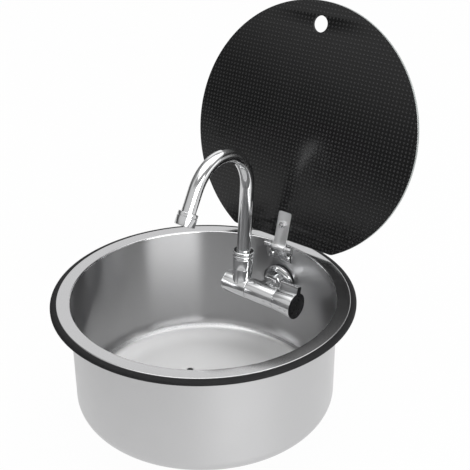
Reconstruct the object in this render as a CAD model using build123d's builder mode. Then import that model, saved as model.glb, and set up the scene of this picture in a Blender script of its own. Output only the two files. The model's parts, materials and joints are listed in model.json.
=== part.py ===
from build123d import *
import os
from math import asin, cos, degrees, radians, sin, sqrt

# A round drop-in camper sink with a hinged glass lid and a folding tap inside the bowl.
# Millimetres. Z = 0 is the worktop, the bowl's axis is Z, X runs along the hinge, +Y is the hinge side.

# Clearances
run_fit = 0.05
turn_gap = 0.3
seat_gap = 0.1

# Bowl
flange_r = 170.0
sheet = 1.0
rim_z = 5.0
ledge_w = 16.4
bowl_depth = 142.0
rim_bend_r = 2.0
floor_bend_r = 19.0
lip_h = 3.6
lip_bend_r = 1.4

# Rubber seal round the rim
seal_lip_w = 6.6
seal_grip_w = 10.0
seal_edge_h = 1.6
seal_crown_drop = 0.5

# Drain in the floor
drain_x = -32.0
drain_y = 7.0
drain_ring_r = 22.0
drain_hole_r = 4.3
drain_hole_count = 6
drain_first_angle = 128.0
drain_screw_r = 2.5
drain_screw_len = 17.0
drain_head_r = 5.5
drain_head_h = 2.2
drain_gasket_h = 2.0
cup_wall = 2.4
cup_margin = 2.0
cup_flange_w = 4.0
cup_flange_h = 3.0
cup_depth = 16.0
cup_cone_h = 8.0
cup_post_wall = 2.4
cup_rib_t = 2.4
cup_rib_count = 3
insert_wall = 1.4
insert_len = 10.0
spigot_hose_r = 12.5
spigot_hose_wall = 2.6
spigot_hose_len = 26.0

# Glass lid
lid_lap = 4.0
glass_t = 4.0
lid_lean = 15.5
lid_forward = 2.6
lid_chord_set_in = 11.1
finger_hole_r = 10.0
finger_hole_set_in = 27.4
glass_edge = 0.6

# Lid hinge
hinge_set_in = 6.0
hinge_drop = 3.6
hinge_pin_r = 1.2
barrel_len = 40.0
strap_w = 18.6
strap_t = 1.2
strap_len = 46.0
strap_corner_r = 2.5
pad_t = 0.5
leaf_t = 1.5
leaf_h = 19.5
leaf_corner_r = 2.0
leaf_screw_x = 12.5
leaf_screw_drop = 13.5
leaf_screw_r = 2.0
leaf_screw_head_r = 3.4
leaf_screw_head_h = 1.8
leaf_nut_af = 7.0
leaf_nut_h = 3.2
leaf_screw_end = 1.5

# Bolt that holds the strap on the glass
lid_bolt_d = 29.5
lid_bolt_r = 2.5
lid_bolt_head_r = 7.0
lid_bolt_head_h = 2.4
lid_washer_t = 1.0
lid_nut_af = 8.0
lid_nut_h = 4.0
lid_bolt_end = 3.5
lid_bush_wall = 0.9

# Tap body across the bowl's back wall
tap_stand_off = 40.6
tap_drop = 54.3
body_r = 14.0
body_left_x = -17.5
body_right_x = 25.0
tap_end_x = 54.5
pivot_r = 9.0
pivot_len = 28.5
pivot_bore_r = 4.0
pivot_screw_r = 2.5
pivot_screw_len = 8.0
pivot_screw_head_r = 4.4
pivot_screw_head_h = 2.6
pivot_washer_r = 11.0
pivot_washer_t = 1.5
o_ring_r = 0.9
o_ring_inset = 6.0
carrier_cap_t = 2.5
carrier_cap_edge = 0.8
carrier_counter_r = 11.6

# Shank through the wall
shank_r = 11.0
shank_bore_r = 9.0
shank_seat = 4.0
boss_r = 13.0
boss_len = 18.0
shank_end = 24.0
inlet_r = 4.0
inlet_x = 4.5
inlet_depth = 9.0
collar_af = 26.0
collar_h = 7.5
rose_r = 22.7
rose_edge_h = 2.0
rose_h = 5.5
rose_top_r = 15.0
rose_gasket_h = 3.0
back_gasket_h = 3.0
back_gasket_r = 21.0
back_washer_t = 1.5
lock_nut_af = 32.0
lock_nut_h = 8.0

# Valve and handle
cartridge_r = 10.9
cartridge_len = 10.0
cartridge_nut_h = 5.0
cartridge_nut_bore_r = 6.0
stem_r = 4.0
stem_in_cartridge = 7.0
stem_in_handle = 15.0
handle_small_r = 14.0
handle_large_r = 16.5
handle_plate_t = 1.6
handle_edge = 0.8
handle_screw_r = 2.0
handle_screw_len = 15.0
handle_screw_head_r = 3.8
handle_screw_head_h = 3.0
fin_t = 5.5
fin_top = 25.0
fin_lean = 15.5
fin_start = 1.0
fin_edge = 0.7

# Spout
spout_x = -31.0
spout_lean = 4.5
tube_r = 8.75
tube_wall = 1.0
riser_h = 135.0
arch_r = 52.5
arch_angle = 154.5
tail_len = 41.7
socket_r = 10.6
socket_floor = 16.5
socket_water_r = 5.0
carrier_boss_r = 12.6
carrier_boss_h = 26.0
carrier_neck_r = 11.7
carrier_neck_h = 5.5
bush_flange_r = 11.2
bush_flange_h = 2.5
bush_ring_r = 0.6
bush_ring_inset = 4.0
spout_nut_r = 13.4
spout_nut_top = 50.0
spout_ring_r = 13.9
spout_ring_h = 4.0
spout_groove_r = 12.4
spout_groove_h = 1.0
aerator_r = 12.2
aerator_len = 16.0
aerator_grip = 8.0
aerator_edge = 0.8
aerator_cage_r = 9.6
aerator_cage_h = 5.0
aerator_jet_r = 1.1
aerator_inner_ring_r = 3.4
aerator_inner_count = 5
aerator_outer_ring_r = 6.8
aerator_outer_count = 10

# Places worked out from the sizes
floor_z = rim_z - bowl_depth
wall_in_r = flange_r - ledge_w
seal_out_r = flange_r + seal_lip_w
seal_in_r = flange_r - seal_grip_w
lid_r = wall_in_r + lid_lap
hinge_y = wall_in_r - hinge_set_in
lid_centre = hinge_y + lid_forward
lid_chord_d = lid_centre - lid_chord_set_in
finger_hole_d = lid_r - finger_hole_set_in
tap_y = wall_in_r - tap_stand_off
floor_under_z = floor_z - sheet
wall_out_r = wall_in_r + sheet
hinge_z = rim_z - hinge_drop
glass_d = hinge_drop + turn_gap
knuckle_r = glass_d - pad_t
knuckle_bore_r = hinge_pin_r + run_fit
tap_z = rim_z - tap_drop
carrier_right_x = body_left_x - turn_gap
carrier_left_x = -tap_end_x + carrier_cap_t
pivot_end_x = body_left_x - pivot_len
handle_left_x = body_right_x + turn_gap
handle_right_x = tap_end_x - handle_plate_t
cartridge_right_x = body_right_x - cartridge_nut_h
cartridge_left_x = cartridge_right_x - cartridge_len
tube_start = socket_floor + 1.0
neck_top = carrier_boss_h + carrier_neck_h
shank_back_y = wall_out_r + shank_end

# Planes that carry the tilted pieces
lid_plane = Plane(
    origin=(0, hinge_y, hinge_z),
    x_dir=(1, 0, 0),
    z_dir=(0, -cos(radians(lid_lean)), sin(radians(lid_lean))),
)
spout_up = Vector(0, sin(radians(spout_lean)), cos(radians(spout_lean)))
spout_forward = Vector(0, -cos(radians(spout_lean)), sin(radians(spout_lean)))
spout_plane = Plane(origin=(spout_x, tap_y, tap_z), x_dir=(1, 0, 0), z_dir=spout_up)
arch_plane = Plane(origin=(spout_x, tap_y, tap_z), x_dir=spout_forward, z_dir=(-1, 0, 0))
shank_plane = Plane(origin=(0, 0, tap_z), x_dir=(1, 0, 0), z_dir=(0, 1, 0))
drain_plane = Plane(origin=(drain_x, drain_y, floor_under_z))


def tap_axis(x):
    """The plane across the tap's axis at a distance along it."""
    return Plane(origin=(x, tap_y, tap_z), x_dir=(0, 1, 0), z_dir=(1, 0, 0))


def leaf_screw_plane(side, radius):
    """The plane of a leaf screw at a radius from the bowl's axis, facing outwards."""
    turn = asin(leaf_screw_x / wall_in_r)
    outward = Vector(side * sin(turn), cos(turn), 0)
    place = outward * radius + Vector(0, 0, hinge_z - leaf_screw_drop)
    return Plane(origin=place, x_dir=(0, 0, 1), z_dir=outward)


# The line that the spout's tube follows
tube_tail = tail_len - aerator_len + aerator_grip
with BuildLine(arch_plane) as spout_line:
    riser = Line((0, tube_start), (0, riser_h))
    bend = CenterArc((arch_r, riser_h), arch_r, 180, -arch_angle)
    tail = Line(bend @ 1, bend @ 1 + (bend % 1) * tube_tail)
aerator_plane = Plane(origin=tail @ 1, x_dir=(1, 0, 0), z_dir=tail % 1)

# Bowl: one sheet from the floor up the wall, over the ledge and down the rolled lip
with BuildPart() as sink_bowl:
    with BuildSketch(Plane.XZ):
        with BuildLine():
            FilletPolyline(
                (0, floor_z),
                (wall_in_r, floor_z),
                (wall_in_r, rim_z),
                (flange_r, rim_z),
                (flange_r, rim_z - lip_h),
                radius=[floor_bend_r, rim_bend_r, lip_bend_r],
            )
            offset(amount=sheet, side=Side.RIGHT)
        make_face()
    revolve(axis=Axis.Z)
    with BuildSketch(shank_plane):
        Circle(shank_r + turn_gap)
    extrude(amount=2 * wall_out_r, mode=Mode.SUBTRACT)
    for side in (-1, 1):
        with BuildSketch(leaf_screw_plane(side, wall_in_r - floor_bend_r)):
            Circle(leaf_screw_r + seat_gap)
        extrude(amount=2 * floor_bend_r, mode=Mode.SUBTRACT)
    with BuildSketch(drain_plane):
        Circle(drain_screw_r + seat_gap)
        with PolarLocations(drain_ring_r, drain_hole_count, start_angle=drain_first_angle):
            Circle(drain_hole_r)
    extrude(amount=2 * sheet, mode=Mode.SUBTRACT)
sink_bowl.part.label = "sink_bowl"

# Seal: grips the rolled lip and rests on the worktop
with BuildPart() as rim_seal:
    with BuildSketch(Plane.XZ):
        with BuildLine():
            crown = Line(
                (flange_r + run_fit, rim_z - lip_h - run_fit),
                (flange_r + run_fit, rim_z - seal_crown_drop),
            )
            edge = Line((seal_out_r, seal_edge_h), (seal_out_r, 0))
            EllipticalCenterArc(
                (flange_r + run_fit, seal_edge_h),
                seal_out_r - flange_r - run_fit,
                rim_z - seal_crown_drop - seal_edge_h,
                start_angle=0,
                arc_size=90,
            )
            Polyline(
                edge @ 1,
                (seal_in_r, 0),
                (seal_in_r, rim_z - sheet),
                (flange_r - sheet - lip_bend_r, rim_z - sheet),
                (flange_r - sheet - lip_bend_r, rim_z - lip_h - run_fit),
                crown @ 0,
            )
        make_face()
    revolve(axis=Axis.Z)
rim_seal.part.label = "rim_seal"

# Drain gasket under the floor
cup_in_r = drain_ring_r + drain_hole_r + cup_margin
cup_out_r = cup_in_r + cup_wall
with BuildPart() as drain_gasket:
    with BuildSketch(drain_plane):
        Circle(cup_out_r + cup_flange_w)
        Circle(cup_in_r, mode=Mode.SUBTRACT)
    extrude(amount=-drain_gasket_h)
drain_gasket.part.label = "drain_gasket"

# Drain cup: flange, bowl, hose spigot and a ribbed post for the screw
cup_top = -drain_gasket_h
cup_bottom = cup_top - cup_depth
spigot_top = cup_bottom - cup_cone_h
spigot_end = spigot_top - spigot_hose_len
insert_r = drain_screw_r + insert_wall
post_r = insert_r + cup_post_wall
with BuildPart() as drain_cup:
    with BuildSketch(Plane(origin=drain_plane.origin, x_dir=(1, 0, 0), z_dir=(0, -1, 0))):
        with BuildLine():
            Polyline(
                (cup_in_r, cup_top),
                (cup_out_r + cup_flange_w, cup_top),
                (cup_out_r + cup_flange_w, cup_top - cup_flange_h),
                (cup_out_r, cup_top - cup_flange_h),
                (cup_out_r, cup_bottom),
                (spigot_hose_r, spigot_top),
                (spigot_hose_r, spigot_end),
                (spigot_hose_r - spigot_hose_wall, spigot_end),
                (spigot_hose_r - spigot_hose_wall, spigot_top + cup_wall),
                (cup_in_r, cup_bottom + cup_wall),
                close=True,
            )
        make_face()
    revolve(axis=Axis(drain_plane.origin, (0, 0, 1)))
    with BuildSketch(drain_plane.offset(cup_top)):
        Circle(post_r)
        with PolarLocations(0, cup_rib_count, start_angle=drain_first_angle + 30):
            Rectangle(cup_in_r + cup_wall / 2, cup_rib_t, align=(Align.MIN, Align.CENTER))
    extrude(amount=-cup_depth + cup_wall)
    with BuildSketch(drain_plane.offset(cup_top)):
        Circle(insert_r + run_fit)
    extrude(amount=-cup_depth + cup_wall, mode=Mode.SUBTRACT)
drain_cup.part.label = "drain_cup"

# Brass insert in the drain's post
with BuildPart() as drain_insert:
    with BuildSketch(drain_plane.offset(cup_top)):
        Circle(insert_r)
        Circle(drain_screw_r + run_fit, mode=Mode.SUBTRACT)
    extrude(amount=-insert_len)
drain_insert.part.label = "drain_insert"

# Drain screw, its head on the bowl's floor
with BuildPart() as drain_screw:
    with BuildSketch(drain_plane.offset(sheet)):
        Circle(drain_head_r)
    extrude(amount=drain_head_h)
    fillet(drain_screw.edges().sort_by(Axis.Z)[-1], drain_head_h * 0.7)
    with BuildSketch(drain_plane.offset(sheet)):
        Circle(drain_screw_r)
    extrude(amount=-drain_screw_len)
    with BuildSketch(drain_plane.offset(sheet + drain_head_h)):
        Rectangle(drain_head_r, drain_head_h / 3)
        Rectangle(drain_head_h / 3, drain_head_r)
    extrude(amount=-drain_head_h * 0.6, mode=Mode.SUBTRACT)
drain_screw.part.label = "drain_screw"

# Fixed hinge leaf: bent to the wall, with a knuckle at each side
knuckle_end = barrel_len / 2
knuckle_start = strap_w / 2 + turn_gap
leaf_out_r = wall_in_r - seat_gap
leaf_in_r = leaf_out_r - leaf_t
with BuildPart() as hinge_leaf:
    with BuildSketch(Plane.XY.offset(hinge_z - leaf_h)):
        Circle(leaf_out_r)
        Circle(leaf_in_r, mode=Mode.SUBTRACT)
        with Locations((0, leaf_out_r)):
            Rectangle(barrel_len, barrel_len / 2, mode=Mode.INTERSECT)
    extrude(amount=leaf_h)
    low_corners = hinge_leaf.edges().filter_by(Axis.Y, tolerance=12).group_by(Axis.Z)[0]
    fillet(low_corners, leaf_corner_r)
    with BuildSketch(Plane.XZ):
        with Locations((0, hinge_z)):
            Rectangle(2 * knuckle_start, 2 * (knuckle_r + turn_gap))
    extrude(amount=-2 * wall_in_r, mode=Mode.SUBTRACT)
    for side in (-1, 1):
        with BuildSketch(Plane.YZ.offset(side * knuckle_start)):
            with Locations((hinge_y, hinge_z)):
                Circle(knuckle_r)
            with Locations((hinge_y, hinge_z - knuckle_r)):
                Rectangle(leaf_in_r - hinge_y + leaf_t / 2, leaf_t, align=Align.MIN)
        extrude(amount=side * (knuckle_end - knuckle_start))
    with BuildSketch(Plane.XY.offset(hinge_z - leaf_h)):
        Circle(leaf_out_r)
    extrude(amount=2 * leaf_h, mode=Mode.INTERSECT)
    with BuildSketch(Plane.YZ.offset(-knuckle_end)):
        with Locations((hinge_y, hinge_z)):
            Circle(knuckle_bore_r)
    extrude(amount=barrel_len, mode=Mode.SUBTRACT)
    for side in (-1, 1):
        with BuildSketch(leaf_screw_plane(side, wall_in_r - floor_bend_r)):
            Circle(leaf_screw_r + seat_gap)
        extrude(amount=2 * floor_bend_r, mode=Mode.SUBTRACT)
hinge_leaf.part.label = "hinge_leaf"

# Hinge pin through the three knuckles
with BuildPart() as hinge_pin:
    with BuildSketch(Plane.YZ.offset(-knuckle_end)):
        with Locations((hinge_y, hinge_z)):
            Circle(hinge_pin_r)
    extrude(amount=barrel_len)
hinge_pin.part.label = "hinge_pin"

# Leaf screws through the wall
head_sag = leaf_in_r - sqrt(leaf_in_r**2 - leaf_screw_head_r**2)
screw_seat_r = leaf_in_r - head_sag - run_fit
nut_seat_r = wall_out_r + run_fit
with BuildPart() as hinge_leaf_screws:
    for side in (-1, 1):
        with BuildSketch(leaf_screw_plane(side, screw_seat_r)):
            Circle(leaf_screw_head_r)
        extrude(amount=-leaf_screw_head_h, taper=30)
        with BuildSketch(leaf_screw_plane(side, screw_seat_r)):
            Circle(leaf_screw_r)
        extrude(amount=nut_seat_r + leaf_nut_h + leaf_screw_end - screw_seat_r)
hinge_leaf_screws.part.label = "hinge_leaf_screws"

# Leaf nuts outside the bowl
with BuildPart() as hinge_leaf_nuts:
    for side in (-1, 1):
        with BuildSketch(leaf_screw_plane(side, nut_seat_r)):
            RegularPolygon(leaf_nut_af / 2, 6, major_radius=False)
            Circle(leaf_screw_r + run_fit, mode=Mode.SUBTRACT)
        extrude(amount=leaf_nut_h)
hinge_leaf_nuts.part.label = "hinge_leaf_nuts"

# Glass lid, open: a disc cut straight at the hinge side, with a finger hole opposite
with BuildPart() as glass_lid:
    with BuildSketch(lid_plane.offset(-glass_d)):
        with Locations((0, lid_centre)):
            Circle(lid_r)
        with Locations((0, lid_centre - lid_chord_d)):
            Rectangle(2 * lid_r, 2 * lid_r, align=(Align.CENTER, Align.MAX), mode=Mode.SUBTRACT)
        with Locations((0, lid_centre + finger_hole_d)):
            Circle(finger_hole_r, mode=Mode.SUBTRACT)
    extrude(amount=-glass_t)
    chamfer(glass_lid.edges().filter_by(GeomType.CIRCLE), glass_edge)
    with BuildSketch(lid_plane.offset(-glass_d)):
        with Locations((0, lid_bolt_d)):
            Circle(lid_bolt_r + lid_bush_wall + run_fit)
    extrude(amount=-glass_t, mode=Mode.SUBTRACT)
glass_lid.part.label = "glass_lid"

# Strap that carries the lid, with the middle knuckle
with BuildPart() as lid_strap:
    with BuildSketch(lid_plane.offset(-knuckle_r)):
        Rectangle(strap_w, strap_len, align=(Align.CENTER, Align.MIN))
    extrude(amount=strap_t)
    tip_corners = lid_strap.edges().filter_by(Axis(lid_plane.origin, lid_plane.z_dir))
    fillet(tip_corners.sort_by(Axis.Z)[-2:], strap_corner_r)
    with BuildSketch(Plane.YZ.offset(-strap_w / 2)):
        with Locations((hinge_y, hinge_z)):
            Circle(knuckle_r)
    extrude(amount=strap_w)
    with BuildSketch(Plane.YZ.offset(-strap_w / 2)):
        with Locations((hinge_y, hinge_z)):
            Circle(knuckle_bore_r)
    extrude(amount=strap_w, mode=Mode.SUBTRACT)
    with BuildSketch(lid_plane):
        with Locations((0, lid_bolt_d)):
            Circle(lid_bolt_r + seat_gap)
    extrude(amount=-glass_d, mode=Mode.SUBTRACT)
lid_strap.part.label = "lid_strap"

# Rubber pad between the strap and the glass
pad_low = lid_centre - lid_chord_d
with BuildPart() as lid_pad:
    with BuildSketch(lid_plane.offset(-glass_d)):
        with Locations((0, pad_low)):
            Rectangle(strap_w, strap_len - pad_low, align=(Align.CENTER, Align.MIN))
        with Locations((0, lid_bolt_d)):
            Circle(lid_bolt_r + seat_gap, mode=Mode.SUBTRACT)
    extrude(amount=pad_t)
lid_pad.part.label = "lid_pad"

# Nylon bush that keeps the bolt off the glass
with BuildPart() as lid_bush:
    with BuildSketch(lid_plane.offset(-glass_d)):
        with Locations((0, lid_bolt_d)):
            Circle(lid_bolt_r + lid_bush_wall)
            Circle(lid_bolt_r + run_fit, mode=Mode.SUBTRACT)
    extrude(amount=-glass_t)
lid_bush.part.label = "lid_bush"

# Nylon washer on the lid's upper face
lid_top_d = glass_d + glass_t
with BuildPart() as lid_washer:
    with BuildSketch(lid_plane.offset(-lid_top_d)):
        with Locations((0, lid_bolt_d)):
            Circle(lid_bolt_head_r)
            Circle(lid_bolt_r + run_fit, mode=Mode.SUBTRACT)
    extrude(amount=-lid_washer_t)
lid_washer.part.label = "lid_washer"

# Lid bolt: low head on the upper face, thread out through the strap
bolt_head_d = lid_top_d + lid_washer_t
nut_face_d = knuckle_r - strap_t
with BuildPart() as lid_bolt:
    with BuildSketch(lid_plane.offset(-bolt_head_d)):
        with Locations((0, lid_bolt_d)):
            Circle(lid_bolt_head_r)
    extrude(amount=-lid_bolt_head_h)
    crown_edge = lid_bolt.edges().sort_by(Axis(lid_plane.origin, lid_plane.z_dir))[0]
    fillet(crown_edge, lid_bolt_head_h * 0.7)
    with BuildSketch(lid_plane.offset(-bolt_head_d)):
        with Locations((0, lid_bolt_d)):
            Circle(lid_bolt_r)
    extrude(amount=bolt_head_d - nut_face_d + lid_nut_h + lid_bolt_end)
lid_bolt.part.label = "lid_bolt"

# Nut on the strap
with BuildPart() as lid_nut:
    with BuildSketch(lid_plane.offset(-nut_face_d)):
        with Locations((0, lid_bolt_d)):
            RegularPolygon(lid_nut_af / 2, 6, major_radius=False)
            Circle(lid_bolt_r + run_fit, mode=Mode.SUBTRACT)
    extrude(amount=lid_nut_h)
lid_nut.part.label = "lid_nut"

# Tap body: valve housing, pivot for the spout and boss for the shank
o_ring_groove_r = pivot_r - 2 * o_ring_r
o_ring_xs = (body_left_x - o_ring_inset, pivot_end_x + o_ring_inset)
boss_end_y = tap_y + boss_len
with BuildPart() as tap_body:
    with BuildSketch(tap_axis(body_left_x)):
        Circle(body_r)
    extrude(amount=body_right_x - body_left_x)
    with BuildSketch(tap_axis(body_left_x)):
        Circle(pivot_r)
    extrude(amount=-pivot_len)
    with BuildSketch(shank_plane.offset(tap_y)):
        Circle(boss_r)
    extrude(amount=boss_len)
    with BuildSketch(tap_axis(cartridge_left_x)):
        Circle(cartridge_r + run_fit)
    extrude(amount=body_right_x - cartridge_left_x, mode=Mode.SUBTRACT)
    with BuildSketch(tap_axis(cartridge_left_x)):
        Circle(pivot_bore_r)
    extrude(amount=spout_x - socket_water_r - cartridge_left_x, mode=Mode.SUBTRACT)
    with BuildSketch(tap_axis(pivot_end_x)):
        Circle(pivot_screw_r + run_fit)
    extrude(amount=pivot_screw_len, mode=Mode.SUBTRACT)
    with BuildSketch(spout_plane):
        Circle(pivot_bore_r)
    extrude(amount=body_r, mode=Mode.SUBTRACT)
    for x in o_ring_xs:
        with BuildSketch(tap_axis(x)):
            Circle(pivot_r + o_ring_r)
            Circle(o_ring_groove_r, mode=Mode.SUBTRACT)
        extrude(amount=o_ring_r + run_fit, both=True, mode=Mode.SUBTRACT)
    with BuildSketch(shank_plane.offset(boss_end_y)):
        Circle(shank_r + run_fit)
    extrude(amount=-shank_seat, mode=Mode.SUBTRACT)
    with BuildSketch(shank_plane.offset(boss_end_y - shank_seat)):
        with Locations((-inlet_x, 0), (inlet_x, 0)):
            Circle(inlet_r)
    extrude(amount=-inlet_depth, mode=Mode.SUBTRACT)
tap_body.part.label = "tap_body"

# O-rings in the pivot's grooves
with BuildPart() as pivot_o_rings:
    for x in o_ring_xs:
        with BuildSketch(Plane.XY.offset(tap_z)):
            with Locations((x, tap_y + pivot_r - o_ring_r)):
                Circle(o_ring_r - run_fit / 2)
        revolve(axis=Axis((x, tap_y, tap_z), (1, 0, 0)))
pivot_o_rings.part.label = "pivot_o_rings"

# Washer and screw that hold the carrier on the pivot
with BuildPart() as pivot_washer:
    with BuildSketch(tap_axis(pivot_end_x)):
        Circle(pivot_washer_r)
        Circle(pivot_screw_r + seat_gap, mode=Mode.SUBTRACT)
    extrude(amount=-pivot_washer_t)
pivot_washer.part.label = "pivot_washer"

with BuildPart() as pivot_screw:
    with BuildSketch(tap_axis(pivot_end_x - pivot_washer_t)):
        Circle(pivot_screw_head_r)
    extrude(amount=-pivot_screw_head_h)
    with BuildSketch(tap_axis(pivot_end_x - pivot_washer_t)):
        Circle(pivot_screw_r)
    extrude(amount=pivot_washer_t + pivot_screw_len - turn_gap)
pivot_screw.part.label = "pivot_screw"

# Threaded shank from the boss out through the wall
with BuildPart() as tap_shank:
    with BuildSketch(shank_plane.offset(boss_end_y - shank_seat)):
        Circle(shank_r)
        Circle(shank_bore_r, mode=Mode.SUBTRACT)
    extrude(amount=shank_back_y - boss_end_y + shank_seat)
tap_shank.part.label = "tap_shank"

# Six-sided collar that locks the shank in the boss
with BuildPart() as shank_collar:
    with BuildSketch(shank_plane.offset(boss_end_y)):
        RegularPolygon(collar_af / 2, 6, major_radius=False)
        Circle(shank_r + run_fit, mode=Mode.SUBTRACT)
    extrude(amount=collar_h)
    chamfer(shank_collar.faces().sort_by(Axis.Y)[-1].outer_wire().edges(), handle_edge)
shank_collar.part.label = "shank_collar"

# Wall rose and the saddle gasket behind it
rose_reach = rose_r - rose_edge_h / 2
rose_sag = wall_in_r - sqrt(wall_in_r**2 - rose_reach**2)
rose_back_y = wall_in_r - rose_sag - rose_gasket_h / 2
with BuildPart() as wall_rose:
    with BuildSketch(Plane(origin=(0, 0, tap_z), x_dir=(1, 0, 0), z_dir=(0, 0, 1))):
        with BuildLine():
            foot = Polyline(
                (shank_r + seat_gap, rose_back_y - rose_h),
                (shank_r + seat_gap, rose_back_y),
                (rose_r, rose_back_y),
                (rose_r, rose_back_y - rose_edge_h),
            )
            dome = RadiusArc(foot @ 1, (rose_top_r, rose_back_y - rose_h), rose_h * 2)
            Line(dome @ 1, foot @ 0)
        make_face()
    revolve(axis=Axis((0, 0, tap_z), (0, 1, 0)))
wall_rose.part.label = "wall_rose"

with BuildPart() as rose_gasket:
    with BuildSketch(shank_plane.offset(rose_back_y)):
        Circle(rose_reach)
        Circle(shank_r + turn_gap, mode=Mode.SUBTRACT)
    extrude(amount=rose_r)
    with BuildSketch(Plane.XY.offset(tap_z - rose_r)):
        Circle(wall_in_r - run_fit)
    extrude(amount=2 * rose_r, mode=Mode.INTERSECT)
rose_gasket.part.label = "rose_gasket"

# Gasket, washer and nut outside the bowl
back_y = wall_out_r + back_gasket_h
with BuildPart() as back_gasket:
    with BuildSketch(shank_plane.offset(back_y)):
        Circle(back_gasket_r)
        Circle(shank_r + turn_gap, mode=Mode.SUBTRACT)
    extrude(amount=-back_gasket_r)
    with BuildSketch(Plane.XY.offset(tap_z - rose_r)):
        Circle(wall_out_r + run_fit)
    extrude(amount=2 * rose_r, mode=Mode.SUBTRACT)
back_gasket.part.label = "back_gasket"

with BuildPart() as back_washer:
    with BuildSketch(shank_plane.offset(back_y)):
        Circle(back_gasket_r)
        Circle(shank_r + seat_gap, mode=Mode.SUBTRACT)
    extrude(amount=back_washer_t)
back_washer.part.label = "back_washer"

with BuildPart() as lock_nut:
    with BuildSketch(shank_plane.offset(back_y + back_washer_t)):
        RegularPolygon(lock_nut_af / 2, 6, major_radius=False)
        Circle(shank_r + run_fit, mode=Mode.SUBTRACT)
    extrude(amount=lock_nut_h)
lock_nut.part.label = "lock_nut"

# Ceramic cartridge and the ring nut that holds it
with BuildPart() as valve_cartridge:
    with BuildSketch(tap_axis(cartridge_left_x)):
        Circle(cartridge_r)
    extrude(amount=cartridge_len)
    with BuildSketch(tap_axis(cartridge_right_x)):
        Circle(stem_r + run_fit)
    extrude(amount=-stem_in_cartridge - turn_gap, mode=Mode.SUBTRACT)
valve_cartridge.part.label = "valve_cartridge"

with BuildPart() as cartridge_nut:
    with BuildSketch(tap_axis(cartridge_right_x)):
        Circle(cartridge_r)
        Circle(cartridge_nut_bore_r, mode=Mode.SUBTRACT)
    extrude(amount=body_right_x - cartridge_right_x)
cartridge_nut.part.label = "cartridge_nut"

# Stem that the handle turns
stem_right_x = handle_left_x + stem_in_handle
with BuildPart() as valve_stem:
    with BuildSketch(tap_axis(cartridge_right_x - stem_in_cartridge)):
        Circle(stem_r)
    extrude(amount=stem_right_x - cartridge_right_x + stem_in_cartridge)
    with BuildSketch(tap_axis(stem_right_x)):
        Circle(handle_screw_r + run_fit)
    extrude(amount=-handle_screw_len, mode=Mode.SUBTRACT)
valve_stem.part.label = "valve_stem"

# Handle: a flared grip with a straight fin along its top
fin_up = Vector(0, sin(radians(fin_lean)), cos(radians(fin_lean)))
fin_plane = Plane(origin=(0, tap_y, tap_z), x_dir=(1, 0, 0), z_dir=fin_up)
screw_face_x = stem_right_x + turn_gap + handle_screw_r
with BuildPart() as tap_handle:
    with BuildSketch(Plane.XY.offset(tap_z)):
        with BuildLine():
            Polyline(
                (handle_left_x, tap_y),
                (handle_left_x, tap_y + handle_small_r),
                (handle_right_x, tap_y + handle_large_r),
                (handle_right_x, tap_y),
                close=True,
            )
        make_face()
    revolve(axis=Axis((0, tap_y, tap_z), (1, 0, 0)))
    with BuildSketch(fin_plane):
        with Locations(((handle_left_x + fin_start + handle_right_x) / 2, 0)):
            Rectangle(handle_right_x - handle_left_x - fin_start, fin_t)
    extrude(amount=fin_top)
    fin_crown = tap_handle.faces().sort_by(Axis(fin_plane.origin, fin_up))[-1]
    fillet(fin_crown.edges().filter_by(Axis.X), fin_edge)
    with BuildSketch(tap_axis(handle_left_x)):
        Circle(stem_r + run_fit)
    extrude(amount=stem_in_handle + turn_gap, mode=Mode.SUBTRACT)
    with BuildSketch(tap_axis(handle_left_x)):
        Circle(handle_screw_r + seat_gap)
    extrude(amount=handle_right_x - handle_left_x, mode=Mode.SUBTRACT)
    with BuildSketch(tap_axis(screw_face_x)):
        Circle(handle_screw_head_r + seat_gap)
    extrude(amount=handle_right_x - screw_face_x, mode=Mode.SUBTRACT)
tap_handle.part.label = "tap_handle"

with BuildPart() as handle_screw:
    with BuildSketch(tap_axis(screw_face_x)):
        Circle(handle_screw_head_r)
    extrude(amount=handle_screw_head_h)
    with BuildSketch(tap_axis(screw_face_x)):
        Circle(handle_screw_r)
    extrude(amount=-handle_screw_len)
handle_screw.part.label = "handle_screw"

# Dark plate that closes the handle's end
with BuildPart() as handle_plate:
    with BuildSketch(tap_axis(handle_right_x)):
        Circle(handle_large_r)
        with Locations(Location((0, 0, 0), (0, 0, -fin_lean))):
            Rectangle(fin_t, fin_top, align=(Align.CENTER, Align.MIN))
    extrude(amount=handle_plate_t)
    chamfer(handle_plate.faces().sort_by(Axis.X)[-1].edges(), handle_edge / 2)
handle_plate.part.label = "handle_plate"

# Spout carrier: turns on the pivot and holds the spout's socket
shoulder_x = pivot_end_x + turn_gap
with BuildPart() as spout_carrier:
    with BuildSketch(tap_axis(carrier_left_x)):
        Circle(body_r)
    extrude(amount=carrier_right_x - carrier_left_x)
    with BuildSketch(spout_plane):
        Circle(carrier_boss_r)
    extrude(amount=carrier_boss_h)
    with BuildSketch(spout_plane):
        Circle(carrier_neck_r)
    extrude(amount=neck_top)
    with BuildSketch(tap_axis(carrier_left_x)):
        Circle(carrier_counter_r)
    extrude(amount=shoulder_x - carrier_left_x, mode=Mode.SUBTRACT)
    with BuildSketch(tap_axis(carrier_left_x)):
        Circle(pivot_r + run_fit)
    extrude(amount=carrier_right_x - carrier_left_x, mode=Mode.SUBTRACT)
    with BuildSketch(spout_plane):
        Circle(socket_water_r)
    extrude(amount=socket_floor, mode=Mode.SUBTRACT)
    with BuildSketch(spout_plane.offset(socket_floor)):
        Circle(socket_r)
    extrude(amount=neck_top - socket_floor, mode=Mode.SUBTRACT)
spout_carrier.part.label = "spout_carrier"

with BuildPart() as carrier_cap:
    with BuildSketch(tap_axis(carrier_left_x)):
        Circle(body_r)
    extrude(amount=-carrier_cap_t)
    chamfer(carrier_cap.edges(), carrier_cap_edge)
carrier_cap.part.label = "carrier_cap"

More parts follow.
